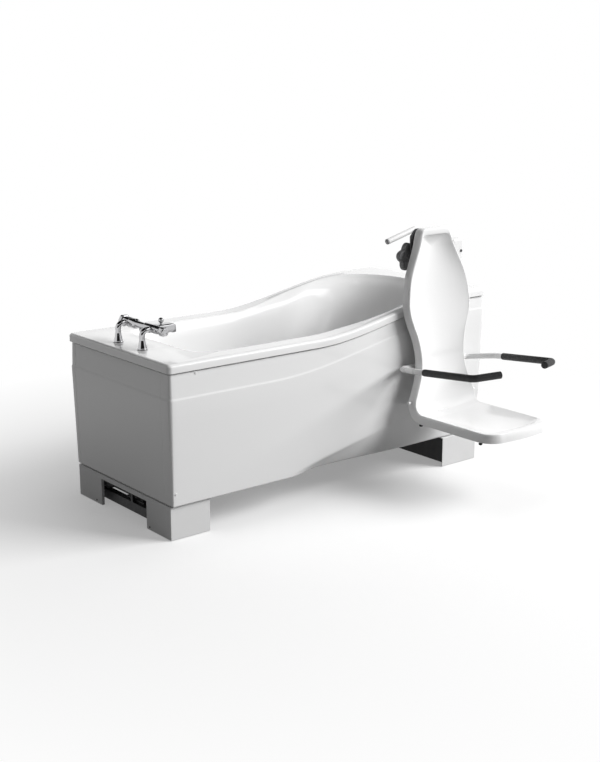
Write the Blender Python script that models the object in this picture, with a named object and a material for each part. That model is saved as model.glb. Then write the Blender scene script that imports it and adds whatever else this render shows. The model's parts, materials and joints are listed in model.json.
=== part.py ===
"""Height-adjustable assisted bath with a powered transfer seat.

Bath coordinates, in metres: X runs from the foot end to the head end, Y from the seat side to the rear,
and Z up from the floor. The middle of the rim stands over the bath origin, and the root empty shifts the
whole bath along Y so that the world origin lies on the floor at the centre of the bounding box.
"""
import math

import bmesh
import bpy
from mathutils import Matrix, Vector

# Clearances
GAP = 0.0003
FLOOR_GAP = 0.002
CUT_MARGIN = 0.050

# Rim and tub
RIM_LENGTH = 1.700
RIM_WIDTH = 0.760
RIM_FOOT_HEIGHT = 0.702
RIM_HEAD_HEIGHT = 0.809
RIM_RISE_START = -0.120
RIM_RISE_LENGTH = 0.780
RIM_CORNER = 0.018
RIM_EDGE = 0.014
SKIRT_DEPTH = 0.035
SHELL_WALL = 0.006
FOOT_DECK = 0.195
HEAD_DECK = 0.115
FOOT_WALL_RUN = 0.135
HEAD_WALL_RUN = 0.385
BASIN_FOOT_X = FOOT_DECK - RIM_LENGTH / 2
BASIN_HEAD_X = RIM_LENGTH / 2 - HEAD_DECK
BASIN_FLARE_START = -0.020
BASIN_FLARE_LENGTH = 0.340
HEAD_SLOPE_SETBACK = 0.335
HEAD_SLOPE_BLEND = 0.300
BASIN_FOOT_HALF = 0.300
BASIN_HEAD_HALF = 0.340
BASIN_FOOT_CORNER = 0.120
BASIN_HEAD_CORNER_X = 0.295
BASIN_HEAD_CORNER_Y = 0.290
FLOOR_HEIGHT = 0.300
FLOOR_FOOT_X = BASIN_FOOT_X + FOOT_WALL_RUN
FLOOR_HEAD_X = BASIN_HEAD_X - HEAD_WALL_RUN
FLOOR_HALF = 0.235
FLOOR_CORNER = 0.110
FLOOR_FILLET = 0.060
FLOOR_HEAD_FLAT = 0.040

# Side panels
PANEL_WALL = 0.004
PANEL_BOTTOM = 0.139
PANEL_CORNER = 0.012
BAND_INSET = 0.008
FACE_INSET = 0.003
FOOT_INSET = 0.014
PANEL_TUCK = 0.010
BAND_FOOT_HEIGHT = 0.567
BAND_HEAD_HEIGHT = 0.720
BAND_RISE_START = -0.350
BAND_RISE_LENGTH = 1.100
CREASE_START = -0.300
CREASE_RISE = 0.200
UNDERCUT = 0.040
UNDERCUT_START = -0.260
UNDERCUT_GROWTH = 0.180
UNDERCUT_FADE = 0.400
FRONT_SEAM_Y = -0.314
REAR_SEAM_Y = 0.340

# Plinths and chassis
PLINTH_HEIGHT = 0.136
PLINTH_HALF = 0.353
PLINTH_WALL = 0.003
FOOT_PLINTH_SETBACK = 0.011
FOOT_PLINTH_DEPTH = 0.183
HEAD_PLINTH_SETBACK = 0.008
HEAD_PLINTH_DEPTH = 0.213
FOOT_PLINTH_OUT = FOOT_PLINTH_SETBACK - RIM_LENGTH / 2
FOOT_PLINTH_IN = FOOT_PLINTH_OUT + FOOT_PLINTH_DEPTH
HEAD_PLINTH_OUT = RIM_LENGTH / 2 - HEAD_PLINTH_SETBACK
HEAD_PLINTH_IN = HEAD_PLINTH_OUT - HEAD_PLINTH_DEPTH
SERVICE_Y0 = -0.178
SERVICE_Y1 = 0.169
SERVICE_TOP = 0.117
SERVICE_RETURN = 0.012
FOOT_SETBACK = 0.040
FRAME_BOTTOM = 0.015
FRAME_TOP = 0.055
FRAME_RAIL = 0.030
HEAD_SETBACK = 0.024
PLATE_SETBACK = 0.015
PLATE_THICKNESS = 0.003
PLATE_OVERLAP = 0.010
POST_SIDE = 0.014
BEAM_Y = 0.280
BEAM_WIDTH = 0.060
BEAM_HEIGHT = 0.036
BEAM_WALL = 0.004
BEAM_LIFT = 0.002
LEVEL_FOOT_Y = 0.325
LEVEL_FOOT_RADIUS = 0.022
LEVEL_FOOT_DISC = 0.006

# Lift columns
COLUMN_DEPTH = 0.080
COLUMN_WIDTH = 0.100
COLUMN_WALL = 0.006
COLUMN_TOP = 0.470
COLUMN_FLANGE = 0.008
COLUMN_FLANGE_MARGIN = 0.018
COLUMN_FLANGE_LIP = 0.008
INNER_WALL = 0.004
INNER_BOTTOM = 0.070
MOTOR_RADIUS = 0.026
MOTOR_LENGTH = 0.100
GEARBOX_LENGTH = 0.048
GEARBOX_MARGIN = 0.004
CONTROL_BOX_LENGTH = 0.100
CONTROL_BOX_Y0 = 0.215
CONTROL_BOX_Y1 = 0.335
CONTROL_BOX_HEIGHT = 0.062
GLAND_RADIUS = 0.008
GLAND_REACH = 0.010
GLAND_SPACING = 0.044

# Lift frame under the rim
CRADLE_BOTTOM = 0.500
CRADLE_DEPTH = 0.040
CRADLE_SETBACK = 0.035
CRADLE_HALF_LENGTH = RIM_LENGTH / 2 - CRADLE_SETBACK
CRADLE_HALF_WIDTH = 0.350
CRADLE_RAIL = 0.040
CRADLE_END_RAIL = 0.030
CRADLE_SEAT = 0.010
POST_X = (BASIN_FOOT_X + 0.055, RIM_RISE_START - 0.080)
HEAD_POST_CLEARANCE = 0.0015
POST_SIZE = 0.025
POST_OUTSET = 0.012

# Waste, overflow and hose
WASTE_X = FLOOR_FOOT_X + 0.100
WASTE_FLANGE_RADIUS = 0.035
WASTE_BODY_RADIUS = 0.022
WASTE_BORE_RADIUS = 0.016
WASTE_FLANGE = 0.003
TRAP_RADIUS = 0.045
TRAP_TOP = 0.262
TRAP_BOTTOM = 0.205
TRAP_OUTLET_RADIUS = 0.020
TRAP_STUB = 0.030
TRAP_WALL = 0.004
OVERFLOW_LEVEL = 0.760
OVERFLOW_RADIUS = 0.032
HOSE_RIB_RADIUS = 0.020
HOSE_VALLEY_RADIUS = 0.0165
HOSE_BORE_RADIUS = 0.0125
HOSE_RIBS = 30
HOSE_SIDES = 8
HOSE_STEPS = [(0.099, 0.102, 0.110), (0.064, 0.038, 0.046), (0.037, 0.006, 0.009), (0.016, 0.0, 0.0)]
SOCKET_Y = -0.130
SOCKET_HEIGHT = 0.086
SOCKET_REACH = 0.012
SOCKET_BEND = 0.030

# Tap
TAP_SETBACK = 0.070
TAP_REACH = 0.052
TAP_RISE = 0.077
TAP_X = TAP_SETBACK - RIM_LENGTH / 2
TAP_SPACING = 0.180
TAP_LEG_FLARE = 0.021
TAP_LEG_NECK = 0.0115
TAP_SHANK_RADIUS = 0.010
TAP_SHANK_LENGTH = 0.040
TAP_BODY_X = TAP_X + TAP_REACH
TAP_BODY_Z = RIM_FOOT_HEIGHT + TAP_RISE
TAP_BODY_RADIUS = 0.0175
TAP_BODY_FRONT = -0.146
TAP_BODY_REAR = 0.112
TAP_REAR_RADIUS = 0.0205
SPOUT_Y = -0.100
SPOUT_WIDTH = 0.046
SPOUT_HEIGHT = 0.034
SPOUT_REACH = 0.068
HANDLE_RADIUS = 0.0185
HANDLE_LENGTH = 0.030
REAR_HANDLE_RADIUS = 0.024
REAR_HANDLE_LENGTH = 0.028
KNOB_OFFSET = 0.030
KNOB_RADIUS = 0.011
KNOB_STEM_RADIUS = 0.004
KNOB_STEM_DEPTH = 0.014

# Seat lift
MAST_SETBACK = 0.110
MAST_X = RIM_LENGTH / 2 - MAST_SETBACK
MAST_Y = -0.270
MAST_OUTER = 0.070
MAST_WALL = 0.0067
MAST_BOTTOM = 0.160
MAST_STAND = 0.020
MAST_INNER_WALL = 0.004
MAST_INNER_BOTTOM = 0.200
MAST_INNER_TOP = 0.852
MAST_CLEARANCE = 0.004
COLLAR_MARGIN = 0.015
COLLAR_HEIGHT = 0.014
SPINDLE_RADIUS = 0.015
SPINDLE_LENGTH = 0.090
SPINDLE_FLANGE = 0.008
WASHER_HEIGHT = 0.003
WASHER_RADIUS = 0.026
BLOCK_LENGTH = 0.077
BLOCK_WIDTH = 0.073
BLOCK_HEIGHT = 0.165
BLOCK_CORNER = 0.016
HANGER_BOTTOM = 0.885
HANGER_HEIGHT = 0.080
HANGER_OVERLAP = 0.008
HANGER_DEPTH = 0.028
HANGER_KNEE = 0.040
HANGER_FRONT_INSET = 0.006
HANGER_REAR_INSET = 0.010
HANGER_ROUNDING = (0.003, 0.020, 0.002, 0.002, 0.020, 0.008)

# Seat shell
SEAT_OFFSET = 0.227
SEAT_X = MAST_X - SEAT_OFFSET
SHELL_TOP = 1.100
BACK_FOOT_Y = -0.477
BACK_FOOT_Z = 0.370
BACK_LEAN = 0.118
SEAT_RIM_Z = 0.331
SEAT_FRONT_Y = -0.930
CREASE_RADIUS = 0.040
FLANGE_DEPTH = 0.037
BACK_FLANGE_DEPTH = 0.033
FLANGE_NARROW_START = 0.040
FLANGE_NARROW_LENGTH = 0.120
SEAT_WALL = 0.005
BACK_DISH_TOP = 0.030
BACK_DISH_WAIST = 0.022
SEAT_DISH = 0.025
WAIST_HEIGHT = 0.540
SHOULDER_HEIGHT = 0.850
CREASE_LIFT = 0.020
SPINE_TOP = 0.085
SPINE_SETBACK = 0.100
FRONT_LIP = 0.022
SEAT_HALF = 0.190
FRONT_CORNER = 0.080
FRONT_BOW = 0.008
PEG_RADIUS = 0.006
PEG_LENGTH = 0.014
PEG_HEIGHT = 0.376
PEG_Y = BACK_FOOT_Y + 0.024
PEG_SEAT = 0.0020
BUFFER_RADIUS = 0.008
BUFFER_HEIGHT = 0.008
BUFFER_INSET = 0.003
BUFFER_REAR_Y = -0.518
BUFFER_FRONT_Y = -0.862

# Seat carrier, steering handle and clamp
STRAP_WIDTH = 0.070
STRAP_THICKNESS = 0.006
STRAP_TOP = 1.030
STRAP_FRONT_Y = -0.800
BRACKET_X0 = SEAT_X - 0.110
BRACKET_X1 = SEAT_X - 0.010
BRACKET_BOTTOM = 0.950
BRACKET_TOP = 1.103
BRACKET_Y = -0.350
BRACKET_THICKNESS = 0.006
BRACKET_SLOPE = 0.030
BOSS_INSET = 0.003
BOSS_LIFT = 0.010
BOSS_HEIGHT = 0.024
WHEEL_X = SEAT_X - 0.098
WHEEL_Z = 0.982
WHEEL_RADIUS = 0.0615
WHEEL_WAIST = 0.046
WHEEL_LOBES = 5
WHEEL_PHASE = math.radians(172.0)
WHEEL_WIDTH = 0.026
WHEEL_HUB_RADIUS = 0.014
WHEEL_HUB_LENGTH = 0.008
STEER_RADIUS = 0.012
STEER_ROOT = (SEAT_X - 0.070, 1.100)
STEER_TIP = (SEAT_X - 0.225, 1.059)
STEER_CAP = 0.006
STEER_WALL = 0.002

# Folding arms
PIVOT_Y = -0.402
PIVOT_Z = 0.516
PIVOT_RADIUS = 0.0095
PIVOT_HALF = 0.100
PIVOT_BLOCK_HALF = 0.030
PIVOT_BLOCK_HEIGHT = 0.050
PIVOT_BLOCK_REAR = 0.019
ARM_RADIUS = 0.0125
ARM_SIDES = 12
ARM_ROOT_HALF = 0.200
ARM_ROOT_BEND = 0.035
ARM_HALF = 0.240
ARM_KNEE_Y = -0.540
ARM_KNEE_Z = 0.537
ARM_KNEE_BEND = 0.080
ARM_FRONT_Y = -0.860
ARM_FRONT_Z = 0.569
ARM_TIP_HALF = 0.134
ARM_TIP_Y = -0.906
ARM_TIP_Z = 0.578
ARM_TIP_BEND = 0.030
GRIP_START_Y = -0.582
GRIP_RADIUS = 0.0150
GRIP_END = 0.004

REAR_Y = RIM_WIDTH / 2
WORLD_SHIFT_Y = -(SEAT_FRONT_Y + REAR_Y) / 2
CREASE_RISE_LENGTH = RIM_LENGTH / 2 - CREASE_START

MATERIALS = {
    "gelcoat": ((0.90, 0.90, 0.90), 0.18, 0.0),
    "panel_white": ((0.86, 0.86, 0.86), 0.25, 0.0),
    "plinth_paint": ((0.78, 0.78, 0.78), 0.40, 0.0),
    "black_paint": ((0.02, 0.02, 0.022), 0.50, 0.0),
    "grey_paint": ((0.32, 0.33, 0.34), 0.45, 0.0),
    "steel": ((0.62, 0.62, 0.63), 0.32, 1.0),
    "chrome": ((0.80, 0.80, 0.81), 0.08, 1.0),
    "white_paint": ((0.84, 0.84, 0.84), 0.30, 0.0),
    "dark_plastic": ((0.09, 0.09, 0.095), 0.50, 0.0),
    "grey_plastic": ((0.40, 0.40, 0.41), 0.50, 0.0),
    "rubber": ((0.03, 0.03, 0.03), 0.80, 0.0),
    "grip_foam": ((0.015, 0.015, 0.016), 0.60, 0.0),
}

# Each body's parent body and a point on its joint's axis, in bath coordinates
BODIES = {
    "base": (None, (0.0, 0.0, 0.0)),
    "bath": ("base", (0.0, 0.0, PANEL_BOTTOM)),
    "waste_plug_body": ("bath", (WASTE_X, 0.0, FLOOR_HEIGHT)),
    "flow_body": ("bath", (TAP_BODY_X, TAP_BODY_FRONT, TAP_BODY_Z)),
    "temperature_body": ("bath", (TAP_BODY_X, TAP_BODY_REAR, TAP_BODY_Z)),
    "diverter_body": ("bath", (TAP_BODY_X + KNOB_OFFSET, SPOUT_Y, TAP_BODY_Z)),
    "mast": ("bath", (MAST_X, MAST_Y, MAST_INNER_BOTTOM)),
    "chair": ("mast", (MAST_X, MAST_Y, MAST_INNER_TOP)),
    "clamp_body": ("chair", (WHEEL_X, BRACKET_Y, WHEEL_Z)),
    "right_arm": ("chair", (SEAT_X - ARM_ROOT_HALF, PIVOT_Y, PIVOT_Z)),
    "left_arm": ("chair", (SEAT_X + ARM_ROOT_HALF, PIVOT_Y, PIVOT_Z)),
}


# Curves and outlines

def smoothstep(t):
    t = min(max(t, 0.0), 1.0)
    return t * t * (3 - 2 * t)


def mix(a, b, t):
    return a + (b - a) * t


def spline(points, steps):
    """Smooth curve through the points, with the given number of steps between neighbours."""
    points = [Vector(p) for p in points]
    ends = [2 * points[0] - points[1], *points, 2 * points[-1] - points[-2]]
    curve = []
    for a, b, c, d in zip(ends, ends[1:], ends[2:], ends[3:]):
        for i in range(steps):
            t = i / steps
            curve.append(0.5 * (2 * b + (c - a) * t + (2 * a - 5 * b + 4 * c - d) * t ** 2
                                + (3 * b - a - 3 * c + d) * t ** 3))
    return curve + [points[-1]]


def rounded(corners, radii, steps, closed=True):
    """Polyline with each corner replaced by an arc, in two or three dimensions."""
    corners = [Vector(p) for p in corners]
    count = len(corners)
    points = []
    for i, corner in enumerate(corners):
        radius = radii[i] if isinstance(radii, (list, tuple)) else radii
        if (not closed and i in (0, count - 1)) or radius <= 0:
            points.append(corner)
            continue
        back = (corners[i - 1] - corner).normalized()
        ahead = (corners[(i + 1) % count] - corner).normalized()
        half = back.angle(ahead) / 2
        centre = corner + (back + ahead).normalized() * (radius / math.sin(half))
        start = corner + back * (radius / math.tan(half)) - centre
        end = corner + ahead * (radius / math.tan(half)) - centre
        turn = math.pi - 2 * half
        for k in range(steps + 1):
            t = k / steps
            arm = start * math.sin((1 - t) * turn) + end * math.sin(t * turn)
            points.append(centre + arm / math.sin(turn))
    return points


def rounded_rectangle(low, high, radius, steps=3):
    (x0, y0), (x1, y1) = low, high
    return rounded([(x0, y0), (x1, y0), (x1, y1), (x0, y1)], radius, steps)


# Solids

def loft(rings, cyclic=False, capped=True):
    """Body through rings of points; a ring of one point is a pole, and the end rings are capped."""
    body = bmesh.new()
    rows = [[body.verts.new(point) for point in ring] for ring in rings]
    pairs = list(zip(rows, rows[1:]))
    if cyclic:
        pairs.append((rows[-1], rows[0]))
    for low, high in pairs:
        count = max(len(low), len(high))
        for i in range(count):
            j = (i + 1) % count
            corners = [low[i % len(low)], low[j % len(low)], high[j % len(high)], high[i % len(high)]]
            corners = list(dict.fromkeys(corners))
            if len(corners) > 2:
                body.faces.new(corners)
    if capped and not cyclic:
        for row in (rows[0], rows[-1]):
            if len(row) > 2:
                body.faces.new(row)
    bmesh.ops.recalc_face_normals(body, faces=body.faces)
    return body


def on_axis(axis, u, v, w):
    """Point with w along the named axis and (u, v) along the other two, in their order."""
    if axis == "X":
        return Vector((w, u, v))
    if axis == "Y":
        return Vector((u, w, v))
    return Vector((u, v, w))


def prism(outline, low, high, axis="Z"):
    return loft([[on_axis(axis, u, v, w) for u, v in outline] for w in (low, high)])


def box(low, high):
    (x0, y0, z0), (x1, y1, z1) = low, high
    return prism([(x0, y0), (x1, y0), (x1, y1), (x0, y1)], z0, z1)


def turned(profile, centre, axis="Z", sides=24, cyclic=False, wave=None):
    """Body turned from (radius, height) pairs; a cyclic profile leaves a bore, a wave flutes it."""
    rings = []
    cu, cv, cw = centre
    for radius, height in profile:
        if radius == 0:
            rings.append([on_axis(axis, cu, cv, cw + height)])
            continue
        ring = []
        for i in range(sides):
            angle = 2 * math.pi * i / sides
            reach = radius * (wave(angle) if wave else 1.0)
            place = (cu + reach * math.cos(angle), cv + reach * math.sin(angle))
            ring.append(on_axis(axis, *place, cw + height))
        rings.append(ring)
    return loft(rings, cyclic)


def cylinder(radius, low, high, centre, axis="Z", sides=24):
    return turned([(radius, low), (radius, high)], (*centre, 0.0), axis, sides)


def side_frames(path, end_direction=None):
    """Two directions across a path at each of its points, carried along without twisting."""
    tangents = []
    for i in range(len(path)):
        tangents.append((path[min(i + 1, len(path) - 1)] - path[max(i - 1, 0)]).normalized())
    if end_direction:
        tangents[0] = tangents[-1] = Vector(end_direction)
    across = tangents[0].orthogonal().normalized()
    frames = []
    for tangent in tangents:
        across = (across - tangent * across.dot(tangent)).normalized()
        frames.append((across, tangent.cross(across)))
    return frames


def round_ring(centre, frame, radius, sides):
    across, over = frame
    angles = [2 * math.pi * i / sides for i in range(sides)]
    return [centre + (across * math.cos(a) + over * math.sin(a)) * radius for a in angles]


def rod(path, radii, sides=12):
    """Solid rod along a path, with one radius for all of it or one for each point."""
    if not isinstance(radii, list):
        radii = [radii] * len(path)
    frames = side_frames(path)
    return loft([round_ring(p, f, r, sides) for p, f, r in zip(path, frames, radii)])


def combine(base, tool, operation="DIFFERENCE"):
    """Boolean of two bodies, which it uses up."""
    objects = []
    for body in (base, tool):
        mesh = bpy.data.meshes.new("operand")
        body.to_mesh(mesh)
        body.free()
        operand = bpy.data.objects.new("operand", mesh)
        bpy.context.scene.collection.objects.link(operand)
        objects.append(operand)
    boolean = objects[0].modifiers.new("boolean", "BOOLEAN")
    boolean.operation = operation
    boolean.object = objects[1]
    graph = bpy.context.evaluated_depsgraph_get()
    mesh = bpy.data.meshes.new_from_object(objects[0].evaluated_get(graph))
    result = bmesh.new()
    result.from_mesh(mesh)
    for operand in objects:
        bpy.data.objects.remove(operand)
    return result


def cut(body, *tools):
    for tool in tools:
        body = combine(body, tool, "DIFFERENCE")
    return body


def fuse(body, *others):
    for other in others:
        body = combine(body, other, "UNION")
    return body


def make_materials():
    made = {}
    for name, (colour, roughness, metallic) in MATERIALS.items():
        material = bpy.data.materials.new(name)
        material.use_nodes = True
        shader = material.node_tree.nodes["Principled BSDF"]
        shader.inputs["Base Color"].default_value = (*colour, 1.0)
        shader.inputs["Roughness"].default_value = roughness
        shader.inputs["Metallic"].default_value = metallic
        made[name] = material
    return made


def make_bodies():
    root = bpy.data.objects.new("bath_root", None)
    root.location = (0.0, WORLD_SHIFT_Y, 0.0)
    bpy.context.scene.collection.objects.link(root)
    made = {}
    for name, (parent, point) in BODIES.items():
        empty = bpy.data.objects.new("body_" + name, None)
        empty.parent = made[parent] if parent else root
        empty.location = Vector(point) - Vector(BODIES[parent][1]) if parent else Vector(point)
        bpy.context.scene.collection.objects.link(empty)
        made[name] = empty
    return made


def add(name, body_name, material_name, solid, smooth=35.0):
    """Node from a solid in bath coordinates, with its origin on its body's joint axis."""
    mesh = bpy.data.meshes.new(name)
    solid.to_mesh(mesh)
    solid.free()
    mesh.transform(Matrix.Translation(-Vector(BODIES[body_name][1])))
    mesh.shade_smooth()
    mesh.set_sharp_from_angle(angle=math.radians(smooth))
    node = bpy.data.objects.new(name, mesh)
    material = materials[material_name].copy()
    material.name = name + "_" + material_name
    mesh.materials.clear()
    mesh.materials.append(material)
    node.parent = empties[body_name]
    bpy.context.scene.collection.objects.link(node)
    return node


# Tub

def rim_height(x):
    rise = smoothstep((x - RIM_RISE_START) / RIM_RISE_LENGTH)
    return mix(RIM_FOOT_HEIGHT, RIM_HEAD_HEIGHT, rise)


def basin_half(x):
    """Half width of the basin's upper edge, which widens towards the head end."""
    return mix(BASIN_FOOT_HALF, BASIN_HEAD_HALF, smoothstep((x - BASIN_FLARE_START) / BASIN_FLARE_LENGTH))


# Steps of a half outline: foot end, foot corner, side, head corner, head end
FOOT_END_STEPS = 1
CORNER_LEAD = 1
CORNER_ARC = 3
SIDE_STEPS = 10
HEAD_LEAD = 4
HEAD_TAIL = 2


def half_basin_outline(foot_x, head_x, half_width, foot_corner, head_corner):
    """Half of a basin outline, from the middle of the foot end along the seat side to the head end."""
    head_rx, head_ry = head_corner
    side_start = foot_x + foot_corner
    side_end = head_x - head_rx
    foot_half = half_width(side_start)
    head_half = half_width(side_end)
    points = []
    for i in range(FOOT_END_STEPS):
        points.append((foot_x, -(foot_half - foot_corner) * i / FOOT_END_STEPS))
    steps = 2 * CORNER_LEAD + CORNER_ARC
    for i in range(steps):
        angle = math.pi / 2 * i / steps
        points.append((side_start - foot_corner * math.cos(angle),
                       -(foot_half - foot_corner) - foot_corner * math.sin(angle)))
    for i in range(SIDE_STEPS):
        x = mix(side_start, side_end, i / SIDE_STEPS)
        points.append((x, -half_width(x)))
    steps = HEAD_LEAD + CORNER_ARC + HEAD_TAIL
    for i in range(steps):
        angle = math.pi / 2 * i / steps
        points.append((side_end + head_rx * math.sin(angle),
                       -(head_half - head_ry) - head_ry * math.cos(angle)))
    points.append((head_x, -(head_half - head_ry)))
    points.append((head_x, 0.0))
    return points


def half_rim_outline(inset):
    """Half of a rim outline, with its steps in line with those of the basin's upper edge."""
    x1 = RIM_LENGTH / 2 - inset
    y1 = RIM_WIDTH / 2 - inset
    radius = max(RIM_CORNER - inset, 0.003)
    side_start = BASIN_FOOT_X + BASIN_FOOT_CORNER
    side_end = BASIN_HEAD_X - BASIN_HEAD_CORNER_X
    foot_y = BASIN_FOOT_HALF - BASIN_FOOT_CORNER
    head_y = BASIN_HEAD_HALF - BASIN_HEAD_CORNER_Y
    points = [(-x1, -foot_y * i / FOOT_END_STEPS) for i in range(FOOT_END_STEPS)]
    points += [(-x1, -mix(foot_y, y1 - radius, i / CORNER_LEAD)) for i in range(CORNER_LEAD)]
    for i in range(CORNER_ARC):
        angle = math.pi / 2 * i / CORNER_ARC
        points.append((-x1 + radius * (1 - math.cos(angle)), -y1 + radius * (1 - math.sin(angle))))
    points += [(mix(-x1 + radius, side_start, i / CORNER_LEAD), -y1) for i in range(CORNER_LEAD)]
    points += [(mix(side_start, side_end, i / SIDE_STEPS), -y1) for i in range(SIDE_STEPS)]
    points += [(mix(side_end, x1 - radius, i / HEAD_LEAD), -y1) for i in range(HEAD_LEAD)]
    for i in range(CORNER_ARC):
        angle = math.pi / 2 * i / CORNER_ARC
        points.append((x1 - radius * (1 - math.sin(angle)), -y1 + radius * (1 - math.cos(angle))))
    points += [(x1, -mix(y1 - radius, head_y, i / HEAD_TAIL)) for i in range(HEAD_TAIL)]
    points.append((x1, -head_y))
    points.append((x1, 0.0))
    return points


def whole_outline(half):
    return half + [(x, -y) for x, y in reversed(half[1:-1])]


def basin_top():
    return half_basin_outline(BASIN_FOOT_X, BASIN_HEAD_X, basin_half, BASIN_FOOT_CORNER,
                              (BASIN_HEAD_CORNER_X, BASIN_HEAD_CORNER_Y))


def basin_base(inset=0.0):
    corner = FLOOR_CORNER - 0.8 * inset
    return half_basin_outline(FLOOR_FOOT_X + inset, FLOOR_HEAD_X - inset, lambda x: FLOOR_HALF - inset,
                              corner, (1.5 * corner, FLOOR_HALF - inset - FLOOR_HEAD_FLAT))


# Basin wall as (way out, way up) shares, for the sides and for the sloping head end
SIDE_WALL = [(1.0, 1.0), (0.80, 0.975), (0.60, 0.89), (0.42, 0.72), (0.18, 0.38)]
HEAD_WALL = [(1.0, 1.0), (0.90, 0.975), (0.79, 0.90), (0.60, 0.72), (0.28, 0.38)]


def wall_ring(step):
    """One ring of the basin wall."""
    ring = []
    for (tx, ty), (bx, by) in zip(whole_outline(basin_top()), whole_outline(basin_base())):
        headward = smoothstep((tx - BASIN_HEAD_X + HEAD_SLOPE_SETBACK) / HEAD_SLOPE_BLEND)
        out = mix(SIDE_WALL[step][0], HEAD_WALL[step][0], headward)
        up = mix(SIDE_WALL[step][1], HEAD_WALL[step][1], headward)
        ring.append((mix(bx, tx, out), mix(by, ty, out), mix(FLOOR_HEIGHT, rim_height(tx), up)))
    return ring


def tub_surface():
    """Upper surface of the tub, from the skirt's lower edge over the rim and down to the floor."""
    rings = []
    drops = [(0.0, SKIRT_DEPTH)]
    for angle in (0, 45, 90):
        turn = math.radians(angle)
        drops.append((RIM_EDGE * (1 - math.cos(turn)), RIM_EDGE * (1 - math.sin(turn))))
    for inset, drop in drops:
        rings.append([(x, y, rim_height(x) - drop) for x, y in whole_outline(half_rim_outline(inset))])
    rings += [wall_ring(step) for step in range(len(SIDE_WALL))]
    for angle in (90, 45, 0):
        turn = math.radians(angle)
        inset = FLOOR_FILLET * (1 - math.sin(turn))
        height = FLOOR_HEIGHT + FLOOR_FILLET * (1 - math.cos(turn))
        rings.append([(x, y, height) for x, y in whole_outline(basin_base(inset))])
    surface = loft(rings, capped=False)
    surface.verts.ensure_lookup_table()
    surface.faces.new(surface.verts[-len(rings[-1]):])
    bmesh.ops.recalc_face_normals(surface, faces=surface.faces)
    surface.faces.ensure_lookup_table()
    if surface.faces[-1].normal.z < 0:
        bmesh.ops.reverse_faces(surface, faces=surface.faces)
    return surface


def solidified(surface, thickness):
    """Shell with the surface as its outer skin, which it uses up."""
    mesh = bpy.data.meshes.new("surface")
    surface.to_mesh(mesh)
    surface.free()
    sheet = bpy.data.objects.new("surface", mesh)
    bpy.context.scene.collection.objects.link(sheet)
    solidify = sheet.modifiers.new("solidify", "SOLIDIFY")
    solidify.thickness = thickness
    solidify.offset = -1.0
    solidify.use_even_offset = True
    graph = bpy.context.evaluated_depsgraph_get()
    result = bmesh.new()
    result.from_mesh(bpy.data.meshes.new_from_object(sheet.evaluated_get(graph)))
    bpy.data.objects.remove(sheet)
    return result


def overflow_place():
    """Point and outward direction of the overflow on the basin's foot wall."""
    level = mix(FLOOR_HEIGHT, RIM_FOOT_HEIGHT, OVERFLOW_LEVEL)
    (out_low, up_low), (out_high, up_high) = SIDE_WALL[3], SIDE_WALL[2]
    share = (OVERFLOW_LEVEL - up_low) / (up_high - up_low)
    out = mix(out_low, out_high, share)
    x = mix(FLOOR_FOOT_X, BASIN_FOOT_X, out)
    run = (out_high - out_low) * (FLOOR_FOOT_X - BASIN_FOOT_X)
    rise = (up_high - up_low) * (RIM_FOOT_HEIGHT - FLOOR_HEIGHT)
    return Vector((x, 0.0, level)), Vector((rise, 0.0, run)).normalized()


def turned_along(profile, point, direction, sides=24, cyclic=False):
    """Body turned about any direction through a point."""
    solid = turned(profile, (0.0, 0.0, 0.0), "Z", sides, cyclic)
    turn = Vector((0.0, 0.0, 1.0)).rotation_difference(direction).to_matrix().to_4x4()
    bmesh.ops.transform(solid, matrix=Matrix.Translation(point) @ turn, verts=solid.verts)
    return solid


def mast_hole(half, low, high):
    return box((MAST_X - half, MAST_Y - half, low), (MAST_X + half, MAST_Y + half, high))


def make_tub():
    tub = solidified(tub_surface(), SHELL_WALL)
    overflow, direction = overflow_place()
    tap_hole = TAP_SHANK_RADIUS + GAP
    low, high = RIM_HEAD_HEIGHT - CUT_MARGIN, RIM_HEAD_HEIGHT + CUT_MARGIN
    tools = [mast_hole(MAST_OUTER / 2 + MAST_CLEARANCE, low, high)]
    low, high = RIM_FOOT_HEIGHT - CUT_MARGIN, RIM_FOOT_HEIGHT + CUT_MARGIN
    for y in (-TAP_SPACING / 2, TAP_SPACING / 2):
        tools.append(cylinder(tap_hole, low, high, (TAP_X, y), sides=16))
    low, high = FLOOR_HEIGHT - CUT_MARGIN, FLOOR_HEIGHT + CUT_MARGIN
    tools.append(cylinder(WASTE_BODY_RADIUS + GAP, low, high, (WASTE_X, 0.0), sides=24))
    bore = WASTE_BORE_RADIUS + GAP
    tools.append(turned_along([(bore, -CUT_MARGIN), (bore, CUT_MARGIN)], overflow, direction, 16))
    add("tub", "bath", "gelcoat", cut(tub, *tools), 40.0)


# Panels

def band_height(x):
    rise = smoothstep((x - BAND_RISE_START) / BAND_RISE_LENGTH)
    return mix(BAND_FOOT_HEIGHT, BAND_HEAD_HEIGHT, rise)


def crease_height(x):
    along = min(max((x - CREASE_START) / CREASE_RISE_LENGTH, 0.0), 1.0)
    return PANEL_BOTTOM + max(CREASE_RISE * (1 - (1 - along) ** 1.35), 0.012)


def undercut(x):
    grow = smoothstep((x - UNDERCUT_START) / UNDERCUT_GROWTH)
    fade = 1 - 0.5 * smoothstep(x / UNDERCUT_FADE)
    return UNDERCUT * grow * fade


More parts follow.
